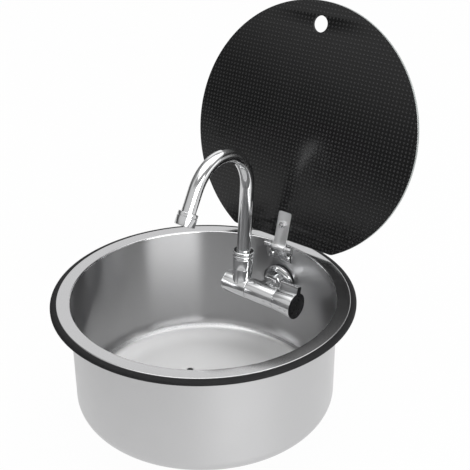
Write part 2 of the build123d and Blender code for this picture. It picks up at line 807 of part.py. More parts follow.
# Swivel nut with two rings
nut_low = carrier_boss_h + turn_gap
nut_step = neck_top + bush_flange_h + 2 * turn_gap
ring_low = spout_nut_top - 2 * spout_ring_h - spout_groove_h
with BuildPart() as spout_nut:
    with BuildSketch(Plane(origin=spout_plane.origin, x_dir=(1, 0, 0), z_dir=spout_forward)):
        with BuildLine():
            wall = Polyline(
                (spout_groove_r, spout_nut_top),
                (tube_r + turn_gap, spout_nut_top),
                (tube_r + turn_gap, nut_step),
                (carrier_neck_r + run_fit, nut_step),
                (carrier_neck_r + run_fit, nut_low),
                (spout_nut_r, nut_low),
                (spout_nut_r, ring_low - spout_groove_h),
                (spout_groove_r, ring_low - spout_groove_h),
                (spout_groove_r, ring_low),
            )
            low_ring = ThreePointArc(
                wall @ 1,
                (spout_ring_r, ring_low + spout_ring_h / 2),
                (spout_groove_r, ring_low + spout_ring_h),
            )
            groove = Line(low_ring @ 1, (spout_groove_r, spout_nut_top - spout_ring_h))
            ThreePointArc(
                groove @ 1,
                (spout_ring_r, spout_nut_top - spout_ring_h / 2),
                wall @ 0,
            )
        make_face()
    revolve(axis=Axis(spout_plane.origin, spout_up))
spout_nut.part.label = "spout_nut"

# Bush on the tube's foot, trapped under the nut, with its O-rings
bush_low = tube_start
bush_ring_zs = (bush_low + bush_ring_inset, neck_top - bush_ring_inset)
with BuildPart() as spout_bush:
    with BuildSketch(spout_plane.offset(bush_low)):
        Circle(socket_r - run_fit)
    extrude(amount=neck_top + turn_gap - bush_low)
    with BuildSketch(spout_plane.offset(neck_top + turn_gap)):
        Circle(bush_flange_r)
    extrude(amount=bush_flange_h)
    with BuildSketch(spout_plane.offset(bush_low)):
        Circle(tube_r + run_fit)
    extrude(amount=spout_nut_top, mode=Mode.SUBTRACT)
    for z in bush_ring_zs:
        with BuildSketch(spout_plane.offset(z)):
            Circle(socket_r + bush_ring_r)
            Circle(socket_r - 2 * bush_ring_r - run_fit, mode=Mode.SUBTRACT)
        extrude(amount=bush_ring_r + run_fit, both=True, mode=Mode.SUBTRACT)
spout_bush.part.label = "spout_bush"

with BuildPart() as bush_o_rings:
    for z in bush_ring_zs:
        with BuildSketch(Plane(origin=spout_plane.origin, x_dir=(1, 0, 0), z_dir=spout_forward)):
            with Locations((socket_r - bush_ring_r - run_fit, z)):
                Circle(bush_ring_r - run_fit)
        revolve(axis=Axis(spout_plane.origin, spout_up))
bush_o_rings.part.label = "bush_o_rings"

# Gooseneck tube
with BuildPart() as spout_tube:
    with BuildSketch(spout_plane.offset(tube_start)):
        Circle(tube_r)
        Circle(tube_r - tube_wall, mode=Mode.SUBTRACT)
    sweep(path=spout_line.line)
spout_tube.part.label = "spout_tube"

# Aerator housing screwed over the tube's tip, with the cage inside
aerator_end = aerator_len - aerator_grip
with BuildPart() as aerator_housing:
    with BuildSketch(aerator_plane.offset(-aerator_grip)):
        Circle(aerator_r)
    extrude(amount=aerator_len)
    rims = aerator_housing.edges().filter_by(GeomType.CIRCLE)
    chamfer(rims, aerator_edge)
    with BuildSketch(aerator_plane.offset(-aerator_grip)):
        Circle(tube_r + run_fit)
    extrude(amount=aerator_grip, mode=Mode.SUBTRACT)
    with BuildSketch(aerator_plane):
        Circle(aerator_cage_r + run_fit)
    extrude(amount=aerator_end, mode=Mode.SUBTRACT)
aerator_housing.part.label = "aerator_housing"

with BuildPart() as aerator_cage:
    with BuildSketch(aerator_plane.offset(run_fit)):
        Circle(aerator_cage_r)
        with PolarLocations(aerator_inner_ring_r, aerator_inner_count):
            Circle(aerator_jet_r, mode=Mode.SUBTRACT)
        with PolarLocations(aerator_outer_ring_r, aerator_outer_count):
            Circle(aerator_jet_r, mode=Mode.SUBTRACT)
    extrude(amount=aerator_cage_h)
aerator_cage.part.label = "aerator_cage"

pieces = [
    sink_bowl, rim_seal, drain_gasket, drain_cup, drain_insert, drain_screw,
    hinge_leaf, hinge_pin, hinge_leaf_screws, hinge_leaf_nuts,
    glass_lid, lid_strap, lid_pad, lid_bush, lid_washer, lid_bolt, lid_nut,
    tap_body, pivot_o_rings, pivot_washer, pivot_screw, tap_shank, shank_collar,
    wall_rose, rose_gasket, back_gasket, back_washer, lock_nut,
    valve_cartridge, cartridge_nut, valve_stem, tap_handle, handle_screw, handle_plate,
    spout_carrier, carrier_cap, spout_nut, spout_bush, bush_o_rings, spout_tube,
    aerator_housing, aerator_cage,
]
os.makedirs("parts", exist_ok=True)
for piece in pieces:
    export_step(piece.part, f"parts/{piece.part.label}.step")
    print(piece.part.label, len(piece.part.solids()), round(piece.part.volume, 1))
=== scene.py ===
"""A round camper sink: a drawn steel bowl, a chrome tap that folds into it and a hinged dark glass lid."""

from __future__ import annotations

import json
import logging
import math
from dataclasses import dataclass
from enum import Enum, IntEnum
from typing import Any, Callable, Sequence

import bmesh
import bpy
from mathutils import Matrix, Vector

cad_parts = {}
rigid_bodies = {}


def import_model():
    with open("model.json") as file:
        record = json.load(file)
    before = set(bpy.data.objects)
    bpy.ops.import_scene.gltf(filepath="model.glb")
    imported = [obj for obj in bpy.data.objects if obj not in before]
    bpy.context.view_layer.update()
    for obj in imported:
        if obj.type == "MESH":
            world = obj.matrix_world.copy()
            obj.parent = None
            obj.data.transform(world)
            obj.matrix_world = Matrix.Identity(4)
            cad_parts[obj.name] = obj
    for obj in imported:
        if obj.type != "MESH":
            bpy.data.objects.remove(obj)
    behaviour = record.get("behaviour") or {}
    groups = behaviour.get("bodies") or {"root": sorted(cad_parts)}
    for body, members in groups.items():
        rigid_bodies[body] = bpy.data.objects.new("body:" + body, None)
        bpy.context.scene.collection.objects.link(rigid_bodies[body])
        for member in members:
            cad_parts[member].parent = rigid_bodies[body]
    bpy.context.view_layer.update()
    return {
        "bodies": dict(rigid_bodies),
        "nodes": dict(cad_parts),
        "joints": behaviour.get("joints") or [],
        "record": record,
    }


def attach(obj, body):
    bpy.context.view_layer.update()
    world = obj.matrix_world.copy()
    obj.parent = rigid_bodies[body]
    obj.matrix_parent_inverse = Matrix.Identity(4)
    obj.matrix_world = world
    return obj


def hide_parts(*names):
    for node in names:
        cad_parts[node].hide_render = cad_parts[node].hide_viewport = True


log = logging.getLogger("camper_sink")

Pair = tuple[float, float]
Triple = tuple[float, float, float]
Loop = list[Pair]
Piece = bpy.types.Object
Finish = bpy.types.Material
Socket = bpy.types.NodeSocket
Inputs = dict[Any, Any] | None
Chooser = Callable[[bpy.types.MeshPolygon], int]

MM = 0.001


class Joining(Enum):
    """How two closed meshes are put together."""

    UNION = "UNION"
    CUT = "DIFFERENCE"
    COMMON = "INTERSECT"


class Turning(IntEnum):
    """Steps in a full turn, from a small screw to the bowl."""

    SCREW = 48
    ROD = 64
    STEM = 96
    NUT = 128
    TAP = 160
    BOWL = 256


class Grain(Enum):
    """The way the brushing runs on a steel piece."""

    ROUND = "round the bowl"
    STRAIGHT = "along the strip"


class BowlZone(Enum):
    """The surfaces of the bowl, which are finished in their own ways."""

    INSIDE = 0
    LEDGE = 1
    OUTSIDE = 2


class LidSide(Enum):
    """The surfaces of the glass lid."""

    UNDER = 0
    UPPER = 1
    RIM = 2
    HOLE = 3


@dataclass(frozen=True)
class Placing:
    """Where a piece's own axes lie in the shared frame.

    Args:
        origin: The local origin, in millimetres.
        x_axis: The local x direction.
        z_axis: The local z direction, along which a piece is turned or extruded.
    """

    origin: Triple = (0.0, 0.0, 0.0)
    x_axis: Triple = (1.0, 0.0, 0.0)
    z_axis: Triple = (0.0, 0.0, 1.0)

    def matrix(self) -> Matrix:
        """Works out where the piece's own axes lie.

        Returns:
            The matrix from local millimetres to metres in the shared frame.
        """
        x = Vector(self.x_axis).normalized()
        z = Vector(self.z_axis).normalized()
        turned = Matrix((x, z.cross(x), z)).transposed().to_4x4()
        turned.translation = Vector(self.origin) * MM
        return turned @ Matrix.Scale(MM, 4)

    def point(self, x: float, y: float, z: float) -> Vector:
        """Returns a local point in the shared frame, in metres."""
        return self.matrix() @ Vector((x, y, z))


def leaning(angle: float) -> Pair:
    """Returns the sine and cosine of an angle in degrees."""
    return math.sin(math.radians(angle)), math.cos(math.radians(angle))


@dataclass(frozen=True)
class Layout:
    """Sizes and places that several assemblies share, in millimetres and degrees.

    Args:
        sheet: The bowl's thickness.
        rim_z: The height of the ledge.
        depth: From the ledge down to the floor.
        wall_r: The bowl's inner radius.
        drain_x: The drain's middle, across.
        drain_y: The drain's middle, towards the back.
        hinge_y: The hinge pin's place towards the back.
        hinge_z: The hinge pin's height.
        lean: How far the open lid leans back.
        bolt_up: From the hinge pin up the glass to the strap's bolt.
        glass_back: How far the glass lies behind the hinge pin.
        glass_t: The glass's thickness.
        tap_y: The tap's axis, towards the back.
        tap_z: The tap's axis, in height.
        tap_r: The radius of the tap's body.
        slack: The play between pieces that fit together.
    """

    sheet: float = 1.0
    rim_z: float = 5.0
    depth: float = 142.0
    wall_r: float = 153.6
    drain_x: float = -32.0
    drain_y: float = 7.0
    hinge_y: float = 147.6
    hinge_z: float = 1.4
    lean: float = 15.5
    bolt_up: float = 29.5
    glass_back: float = 3.9
    glass_t: float = 4.0
    tap_y: float = 113.0
    tap_z: float = -49.3
    tap_r: float = 14.0
    slack: float = 0.05

    @property
    def floor_z(self) -> float:
        """The height of the bowl's floor."""
        return self.rim_z - self.depth

    def under_floor(self) -> Placing:
        """Returns the drain's axes, z up from the floor's underside."""
        return Placing((self.drain_x, self.drain_y, self.floor_z - self.sheet))

    def on_lid(self, up: float = 0.0) -> Placing:
        """Returns axes some way up the lid: x along the hinge, y up the glass, z towards the front."""
        s, c = leaning(self.lean)
        return Placing((0.0, self.hinge_y + up * s, self.hinge_z + up * c), (1, 0, 0), (0.0, -c, s))

    def along_tap(self) -> Placing:
        """Returns the axes of what turns about the tap, z along it to the right."""
        return Placing((0.0, self.tap_y, self.tap_z), (0, 1, 0), (1, 0, 0))

    def through_wall(self, x: float = 0.0, y: float = 0.0) -> Placing:
        """Returns the axes of what sits on the tap's stem, z out through the wall."""
        return Placing((x, y, self.tap_z), (1, 0, 0), (0, 1, 0))


SINK = Layout()


def rounded(corners: Sequence[Triple], closed: bool = True, steps: int = 6) -> Loop:
    """Rounds the corners of an outline.

    Args:
        corners: Points with the radius at each, in millimetres.
        closed: Whether the last point joins the first.
        steps: Points along each rounded corner.

    Returns:
        The outline's points.
    """
    most_of_side = 0.49
    count = len(corners)
    outline: Loop = []
    for i, (x, y, radius) in enumerate(corners):
        here = Vector((x, y))
        if radius <= 0 or (not closed and i in (0, count - 1)):
            outline.append((x, y))
            continue
        before = Vector(corners[i - 1][:2]) - here
        after = Vector(corners[(i + 1) % count][:2]) - here
        half = before.angle(after) / 2
        reach = min(radius / math.tan(half), before.length * most_of_side, after.length * most_of_side)
        size = reach * math.tan(half)
        before.normalize()
        after.normalize()
        centre = here + (before + after).normalized() * (size / math.sin(half))
        start = here + before * reach - centre
        end = here + after * reach - centre
        sweep = start.angle_signed(end)
        for k in range(steps + 1):
            turned = start.copy()
            turned.rotate(Matrix.Rotation(-sweep * k / steps, 2))
            outline.append(tuple(centre + turned))
    return outline


def arc(centre: Pair, radii: Pair, start: float, end: float, steps: int) -> Loop:
    """Makes a round or flattened arc.

    Args:
        centre: Its centre.
        radii: Its radii along x and y.
        start: The angle that it starts at, in degrees.
        end: The angle that it ends at.
        steps: How many steps it takes.

    Returns:
        The arc's points, with both ends.
    """
    turns = [math.radians(start + (end - start) * k / steps) for k in range(steps + 1)]
    return [(centre[0] + radii[0] * math.cos(t), centre[1] + radii[1] * math.sin(t)) for t in turns]


def ring(radius: float, y: float = 0.0, points: int = 64, hole: bool = False) -> Loop:
    """Makes a circle.

    Args:
        radius: Its radius.
        y: Its centre along y.
        points: How many points it has.
        hole: Whether it runs the other way round, as a hole does.

    Returns:
        The circle's points.
    """
    return arc((0.0, y), (radius, radius), 0.0, -360.0 if hole else 360.0, points)[:-1]


def six_sided(across_flats: float) -> Loop:
    """Returns a hexagon's corners for a spanner size."""
    return ring(across_flats / math.sqrt(3), points=6)


class Workshop:
    """Makes meshes in millimetres and lays them in the shared frame."""

    weld = 1e-4
    solid_weld = 1e-3
    on_axis = 1e-6
    sharp_angle = 32.0
    edge_steps = 2

    def piece(self, name: str, mesh: bpy.types.Mesh | None = None) -> Piece:
        """Links a piece into the scene.

        Args:
            name: The piece's name.
            mesh: Its mesh, already in place, or none for an empty one.

        Returns:
            The new piece.
        """
        made = bpy.data.objects.new(name, mesh or bpy.data.meshes.new(name))
        bpy.context.scene.collection.objects.link(made)
        return made

    def close(self, name: str, bm: bmesh.types.BMesh, placing: Placing) -> Piece:
        """Turns a bmesh into a smooth piece in its place.

        Args:
            name: The piece's name.
            bm: The mesh in local millimetres.
            placing: Where it goes.

        Returns:
            The new piece.
        """
        bmesh.ops.remove_doubles(bm, verts=bm.verts, dist=self.weld)
        bmesh.ops.recalc_face_normals(bm, faces=bm.faces)
        mesh = bpy.data.meshes.new(name)
        bm.to_mesh(mesh)
        bm.free()
        mesh.transform(placing.matrix())
        self.smooth(mesh)
        return self.piece(name, mesh)

    def smooth(self, mesh: bpy.types.Mesh) -> None:
        """Shades a mesh smooth, apart from its sharp edges."""
        mesh.shade_smooth()
        mesh.set_sharp_from_angle(angle=math.radians(self.sharp_angle))

    def lathe(self, name: str, outline: Loop, placing: Placing, segments: int) -> Piece:
        """Turns an outline about the local z axis.

        Args:
            name: The piece's name.
            outline: Points as radius and height.
            placing: Where it goes.
            segments: Steps in a full turn.

        Returns:
            The turned piece.
        """
        bm = bmesh.new()
        rings = []
        for r, z in outline:
            if r < self.on_axis:
                rings.append([bm.verts.new((0, 0, z))] * segments)
            else:
                rings.append([bm.verts.new((x, y, z)) for x, y in ring(r, points=segments)])
        for i, low in enumerate(rings):
            high = rings[(i + 1) % len(rings)]
            for k in range(segments):
                n = (k + 1) % segments
                corners = list(dict.fromkeys((low[k], low[n], high[n], high[k])))
                if len(corners) > 2:
                    bm.faces.new(corners)
        return self.close(name, bm, placing)

    def turned(self, name: str, corners: Sequence[Triple], placing: Placing, segments: int) -> Piece:
        """Turns a solid piece, whose outline starts and ends on the axis.

        Args:
            name: The piece's name.
            corners: Radius and height of each corner, with the radius that rounds it.
            placing: Where it goes.
            segments: Steps in a full turn.

        Returns:
            The turned piece.
        """
        return self.lathe(name, rounded(corners, closed=False), placing, segments)

    def plate(
        self, name: str, loops: Sequence[Loop], heights: Pair, placing: Placing, edge: float
    ) -> Piece:
        """Makes a flat plate with eased edges from its outline and its holes.

        Args:
            name: The piece's name.
            loops: The outline, then the holes, which run the other way.
            heights: Its lower and upper face along local z.
            placing: Where it goes.
            edge: How far the edges are eased.

        Returns:
            The plate.
        """
        low, high = heights
        curve = bpy.data.curves.new(name, "CURVE")
        curve.dimensions = "2D"
        curve.fill_mode = "BOTH"
        curve.extrude = (high - low) / 2 - edge
        curve.bevel_depth = edge
        curve.bevel_resolution = self.edge_steps
        curve.offset = -edge
        for loop in loops:
            spline = curve.splines.new("POLY")
            spline.points.add(len(loop) - 1)
            for point, (x, y) in zip(spline.points, loop):
                point.co = (x, y, 0.0, 1.0)
            spline.use_cyclic_u = True
        drawn = bpy.data.objects.new(name, curve)
        bpy.context.scene.collection.objects.link(drawn)
        flat = bpy.data.meshes.new_from_object(drawn.evaluated_get(bpy.context.evaluated_depsgraph_get()))
        bpy.data.objects.remove(drawn)
        bpy.data.curves.remove(curve)
        bm = bmesh.new()
        bm.from_mesh(flat)
        bpy.data.meshes.remove(flat)
        bmesh.ops.translate(bm, verts=bm.verts, vec=(0, 0, (low + high) / 2))
        return self.close(name, bm, placing)

    def nut(
        self, name: str, sizes: Pair, heights: Pair, placing: Placing, edge: float, points: int = 64
    ) -> Piece:
        """Makes a six-sided nut.

        Args:
            name: The nut's name.
            sizes: Its width across the flats and its bore's radius.
            heights: Its lower and upper face along local z.
            placing: Where it goes.
            edge: How far its edges are eased.
            points: Points round the bore.

        Returns:
            The nut.
        """
        loops = [six_sided(sizes[0]), ring(sizes[1], points=points, hole=True)]
        return self.plate(name, loops, heights, placing, edge)

    def cross(self, name: str, sizes: Pair, heights: Pair, placing: Placing, edge: float) -> list[Piece]:
        """Makes the two blades that cut a driver's cross.

        Args:
            name: The blades' name.
            sizes: A blade's half length and half width.
            heights: Their lower and upper ends along local z.
            placing: Where they go.
            edge: How far their edges are eased.

        Returns:
            The blades.
        """
        far, wide = sizes
        slot = [(-far, -wide), (far, -wide), (far, wide), (-far, wide)]
        across = [(y, x) for x, y in slot][::-1]
        return [self.plate(name, [shape], heights, placing, edge) for shape in (slot, across)]

    def pipe(self, name: str, line: Sequence[Vector], side: Vector, radii: Pair, segments: int) -> Piece:
        """Draws a tube along a flat line.

        Args:
            name: The piece's name.
            line: Points in metres.
            side: The direction square to the line's plane.
            radii: Its outer radius and its bore's, in millimetres.
            segments: Steps round the tube.

        Returns:
            The tube.
        """
        bm = bmesh.new()
        rows = []
        last = len(line) - 1
        for radius, order in zip(radii, (range(last + 1), range(last, -1, -1))):
            for i in order:
                along = (line[min(i + 1, last)] - line[max(i - 1, 0)]).normalized()
                across = along.cross(side)
                spots = ring(radius, points=segments)
                rows.append([bm.verts.new(line[i] / MM + side * x + across * y) for x, y in spots])
        for i, low in enumerate(rows):
            high = rows[(i + 1) % len(rows)]
            for k in range(segments):
                n = (k + 1) % segments
                bm.faces.new((low[k], low[n], high[n], high[k]))
        return self.close(name, bm, Placing())

    def bake(self, made: Piece) -> None:
        """Makes a piece's modifiers part of its mesh.

        Args:
            made: The piece.
        """
        seen = made.evaluated_get(bpy.context.evaluated_depsgraph_get())
        mesh = bpy.data.meshes.new_from_object(seen)
        made.modifiers.clear()
        made.data = mesh

    def fit(self, base: Piece, tools: Sequence[Piece], how: Joining) -> Piece:
        """Joins tools to a piece, or cuts it with them.

        Args:
            base: The piece that stays.
            tools: The pieces that are used up.
            how: Whether they are added or taken away.

        Returns:
            The piece that stays.
        """
        for tool in tools:
            step = base.modifiers.new(tool.name, "BOOLEAN")
            step.operation = how.value
            step.solver = "MANIFOLD"
            step.object = tool
        self.bake(base)
        for tool in tools:
            bpy.data.objects.remove(tool)
        bm = bmesh.new()
        bm.from_mesh(base.data)
        bmesh.ops.remove_doubles(bm, verts=bm.verts, dist=self.weld * MM)
        bmesh.ops.dissolve_degenerate(bm, edges=bm.edges, dist=self.weld * MM)
        bm.to_mesh(base.data)
        bm.free()
        self.smooth(base.data)
        return base

    def rod(self, name: str, radius: float, low: float, high: float, placing: Placing) -> Piece:
        """Makes a plain rod to cut a hole with.

        Args:
            name: The rod's name.
            radius: Its radius.
            low: Where it starts along local z.
            high: Where it ends.
            placing: Where it goes.

        Returns:
            The rod.
        """
        return self.lathe(name, [(0, low), (radius, low), (radius, high), (0, high)], placing, Turning.ROD)

    def from_solid(self, name: str, node: Piece) -> Piece:
        """Copies a solid's mesh, welds its triangles and shades it smooth.

        Args:
            name: The new piece's name.
            node: The solid that it copies.

        Returns:
            The copy.
        """
        bm = bmesh.new()
        bm.from_mesh(node.data)
        bmesh.ops.remove_doubles(bm, verts=bm.verts, dist=self.solid_weld * MM)
        mesh = bpy.data.meshes.new(name)
        bm.to_mesh(mesh)
        bm.free()
        self.smooth(mesh)
        return self.piece(name, mesh)


class NodeSheet:
    """A node tree that is written down node by node."""

    def __init__(self, tree: bpy.types.NodeTree) -> None:
        """Starts on an empty tree."""
        self.tree = tree
        tree.nodes.clear()

    def feed(self, target: Socket, value: Any) -> None:
        """Links an input to another socket, or sets it to a plain value.

        Args:
            target: The input.
            value: The socket or the value.
        """
        if isinstance(value, bpy.types.NodeSocket):
            self.tree.links.new(value, target)
        else:
            target.default_value = value

    def add(self, kind: str, inputs: Inputs = None, **settings: Any) -> bpy.types.Node:
        """Adds a node.

        Args:
            kind: Blender's name for the node.
            inputs: Values or sockets for its inputs, by name or place.
            settings: The node's own properties.

        Returns:
            The node.
        """
        node = self.tree.nodes.new(kind)
        for name, value in settings.items():
            setattr(node, name, value)
        for key, value in (inputs or {}).items():
            self.feed(node.inputs[key], value)
        return node

    def result(self, kind: str, inputs: Inputs = None, **settings: Any) -> Socket:
        """Adds a node and returns its first output."""
        return self.add(kind, inputs, **settings).outputs[0]

    def math(self, operation: str, *values: Any, **settings: Any) -> Socket:
        """Adds a sum of numbers or sockets and returns its result."""
        return self.result("ShaderNodeMath", dict(enumerate(values)), operation=operation, **settings)

    def vector(self, operation: str, *values: Any) -> Socket:
        """Adds a sum of vectors and returns its result, a number for a length or a distance."""
        made = self.add("ShaderNodeVectorMath", dict(enumerate(values)), operation=operation)
        return made.outputs["Value" if operation in ("LENGTH", "DISTANCE") else "Vector"]

    def ramp(self, value: Socket, ends: Pair, levels: tuple[Any, Any] = (0.0, 1.0)) -> Socket:
        """Goes smoothly from one level to another.

        Args:
            value: What it follows.
            ends: The values at which it starts and stops.
            levels: The levels there.

        Returns:
            The level.
        """
        return self.result(
            "ShaderNodeMapRange",
            {
                "Value": value,
                "From Min": ends[0],
                "From Max": ends[1],
                "To Min": levels[0],
                "To Max": levels[1],
            },
            interpolation_type="SMOOTHSTEP",
        )


class Shader(NodeSheet):
    """A material's node tree with its main shader."""

    noise_middle = (0.3, 0.7)

    def __init__(self, name: str) -> None:
        """Makes the material and its output."""
        self.material = bpy.data.materials.new(name)
        self.material.use_nodes = True
        super().__init__(self.material.node_tree)
        self.main = self.add("ShaderNodeBsdfPrincipled")
        self.add("ShaderNodeOutputMaterial", {"Surface": self.main.outputs[0]})
        self.place = self.add("ShaderNodeTexCoord").outputs["Object"]

    def set(self, **values: Any) -> None:
        """Sets or links the main shader's inputs, written with underscores for spaces."""
        for key, value in values.items():
            self.feed(self.main.inputs[key.replace("_", " ")], value)

    def from_axis(self) -> Socket:
        """Returns the distance from the bowl's upright axis."""
        return self.vector("LENGTH", self.vector("MULTIPLY", self.place, (1.0, 1.0, 0.0)))

    def noise(self, where: Socket, scale: float, detail: float) -> Socket:
        """Adds a noise pattern.

        Args:
            where: The coordinates that it reads.
            scale: Its scale.
            detail: Its detail.

        Returns:
            The pattern's value.
        """
        made = self.add("ShaderNodeTexNoise", {"Vector": where, "Scale": scale, "Detail": detail})
        return made.outputs["Fac"]

    def spread(self, value: Socket, low: float = 0.0, high: float = 1.0) -> Socket:
        """Spreads the middle of a noise pattern over a range.

        Args:
            value: The pattern, from 0 to 1.
            low: The range's start.
            high: The range's end.

        Returns:
            The value in that range.
        """
        start, end = self.noise_middle
        ends = {"From Min": start, "From Max": end, "To Min": low, "To Max": high}
        return self.result("ShaderNodeMapRange", {"Value": value, **ends})

    def blend(self, part: Socket, first: Triple | Socket, second: Triple | Socket) -> Socket:
        """Mixes two colours.

        Args:
            part: How much of the second.
            first: The first colour.
            second: The second colour.

        Returns:
            The mixed colour.
        """
        ends = [c if isinstance(c, bpy.types.NodeSocket) else (*c, 1.0) for c in (first, second)]
        return self.add("ShaderNodeMix", {0: part, 6: ends[0], 7: ends[1]}, data_type="RGBA").outputs[2]

    def bump(self, height: Socket, distance: float) -> Socket:
        """Adds a bump.

        Args:
            height: The pattern that it follows.
            distance: The height in metres of a value of 1.

        Returns:
            The bent normal.
        """
        return self.result("ShaderNodeBump", {"Height": height, "Distance": distance, "Strength": 1.0})


def shaded(colour: Triple, share: float) -> Triple:
    """Returns a darker shade of a colour."""
    return tuple(c * share for c in colour)


@dataclass(frozen=True)
class BrushedSteel:
    """Stainless steel with fine brushing."""

    name: str
    colour: Triple
    roughness: float
    anisotropy: float
    grain: Grain

    groove_shade = 0.965
    groove_scale = 2600.0
    patch_scale = 34.0
    patchiness = 0.02
    slow_turn = 0.02
    straight_stretch = (1.0, 0.03, 0.03)
    quarter_turn = 0.25

    def levels(self, s: Shader, z: Socket, broad: Socket) -> tuple[Socket, Any, Any]:
        """Finds how rough, how streaked and how bare the steel is.

        Args:
            s: The material's tree.
            z: The height in the shared frame.
            broad: A broad noise pattern.

        Returns:
            The roughness, the anisotropy and the metallic share.
        """
        rough = s.spread(broad, self.roughness - self.patchiness, self.roughness + self.patchiness)
        return rough, self.anisotropy, 1.0

    def tone(self, s: Shader, z: Socket, fine: Socket) -> Socket:
        """Finds the steel's colour.

        Args:
            s: The material's tree.
            z: The height in the shared frame.
            fine: The brushing lines, from 0 to 1.

        Returns:
            The colour.
        """
        return s.blend(fine, shaded(self.colour, self.groove_shade), self.colour)

    def make(self) -> Finish:
        """Makes the finish.

        Returns:
            The material.
        """
        s = Shader(self.name)
        x, y, z = s.add("ShaderNodeSeparateXYZ", {0: s.place}).outputs
        if self.grain is Grain.ROUND:
            slow = s.math("MULTIPLY", s.math("ARCTAN2", y, x), self.slow_turn)
            lines = s.result("ShaderNodeCombineXYZ", {0: s.from_axis(), 1: slow, 2: z})
            tangent = s.result("ShaderNodeTangent", direction_type="RADIAL", axis="Z")
            s.set(Tangent=tangent, Anisotropic_Rotation=self.quarter_turn)
        else:
            lines = s.result("ShaderNodeMapping", {"Vector": s.place, "Scale": self.straight_stretch})
        fine = s.spread(s.noise(lines, self.groove_scale, 2.0))
        roughness, streak, metal = self.levels(s, z, s.noise(s.place, self.patch_scale, 3.0))
        s.set(Base_Color=self.tone(s, z, fine), Metallic=metal, Roughness=roughness, Anisotropic=streak)
        return s.material


@dataclass(frozen=True)
class DrawnSteel(BrushedSteel):
    """Steel brushed round the wall, smoother in the bend at its foot and a pale blasted satin on the floor,
    with a painted highlight: a paler ring towards the bend.

    Args:
        floor_colour: The colour in the floor's middle.
        painted_highlight_colour: The colour at the floor's edge, paler than the middle to paint the
            highlight along the bend.
        edge: The radii between which the floor's colour turns into the painted highlight colour, in
            millimetres.
        floor_roughness: The floor's roughness.
        floor_metal: The floor's metallic share.
        bend_roughness: The roughness where the bend starts.
        foot: The height above the floor by which the satin has faded out.
        bend: The height above the floor from which the wall is brushed.
    """

    floor_colour: Triple
    painted_highlight_colour: Triple
    edge: Pair
    floor_roughness: float
    floor_metal: float
    bend_roughness: float
    foot: float
    bend: float

    patchiness = 0.004

    def rising(self, s: Shader, z: Socket, heights: Pair, levels: tuple[Any, Any]) -> Socket:
        """Goes smoothly from a lower level to an upper one.

        Args:
            s: The material's tree.
            z: The height in the shared frame.
            heights: Where the change starts and ends, above the floor in millimetres.
            levels: The levels below and above.

        Returns:
            The level at that height.
        """
        low, high = ((SINK.floor_z + h) * MM for h in heights)
        return s.ramp(z, (low, high), levels)

    def tone(self, s: Shader, z: Socket, fine: Socket) -> Socket:
        """Makes the floor paler than the wall, with a highlight painted as a paler ring towards the bend.

        Args:
            s: The material's tree.
            z: The height in the shared frame.
            fine: The brushing lines, from 0 to 1.

        Returns:
            The colour.
        """
        # Painted highlight: the floor's colour grows paler towards the bend and stands in for the light
        # along the crease.
        near, far = (r * MM for r in self.edge)
        floor = s.blend(s.ramp(s.from_axis(), (near, far)), self.floor_colour, self.painted_highlight_colour)
        return s.blend(self.rising(s, z, (0.0, self.foot), (0.0, 1.0)), floor, super().tone(s, z, fine))

    def levels(self, s: Shader, z: Socket, broad: Socket) -> tuple[Socket, Any, Any]:
        """Fades the wall's brushing out where the wall bends into the floor.

        Args:
            s: The material's tree.
            z: The height in the shared frame.
            broad: A broad noise pattern.

        Returns:
            The roughness, the anisotropy and the metallic share.
        """
        lower = self.rising(s, z, (0.0, self.foot), (self.floor_roughness, self.bend_roughness))
        even = self.rising(s, z, (self.foot, self.bend), (lower, self.roughness))
        streak = self.rising(s, z, (self.foot, self.bend), (0.0, self.anisotropy))
        metal = self.rising(s, z, (0.0, self.foot), (self.floor_metal, 1.0))
        rough = s.math("ADD", even, s.spread(broad, -self.patchiness, self.patchiness))
        return rough, streak, metal


@dataclass(frozen=True)
class Chrome:
    """Bright plating with the faintest ripple."""

    name: str
    colour: Triple
    roughness: float

    haze_scale = 60.0
    haze_shade = 0.97
    haze_roughness = (0.8, 1.3)
    ripple_scale = 90.0
    ripple = 0.000004

    def make(self) -> Finish:
        """Makes the finish.

        Returns:
            The material.
        """
        s = Shader(self.name)
        haze = s.noise(s.place, self.haze_scale, 2.0)
        low, high = (self.roughness * share for share in self.haze_roughness)
        s.set(
            Base_Color=s.blend(s.spread(haze), shaded(self.colour, self.haze_shade), self.colour),
            Metallic=1.0,
            Roughness=s.spread(haze, low, high),
            Normal=s.bump(s.noise(s.place, self.ripple_scale, 1.0), self.ripple),
        )
        return s.material


@dataclass(frozen=True)
class Moulded:
    """Rubber or plastic with a fine moulded grain."""

    name: str
    colour: Triple
    roughness: float
    grain: float

    dust_scale = 220.0
    dust_tint = 1.25
    dust_lift = 0.003
    dust_roughness = 0.06
    grain_scale = 2400.0
    shine = 0.15

    def make(self) -> Finish:
        """Makes the finish.

        Returns:
            The material.
        """
        s = Shader(self.name)
        dust = s.noise(s.place, self.dust_scale, 4.0)
        dusty = tuple(min(1.0, c * self.dust_tint + self.dust_lift) for c in self.colour)
        low, high = self.roughness - self.dust_roughness, self.roughness + self.dust_roughness
        s.set(
            Base_Color=s.blend(s.spread(dust), self.colour, dusty),
            Roughness=s.spread(dust, low, high),
            Specular_IOR_Level=self.shine,
            Normal=s.bump(s.noise(s.place, self.grain_scale, 2.0), self.grain),
        )
        return s.material


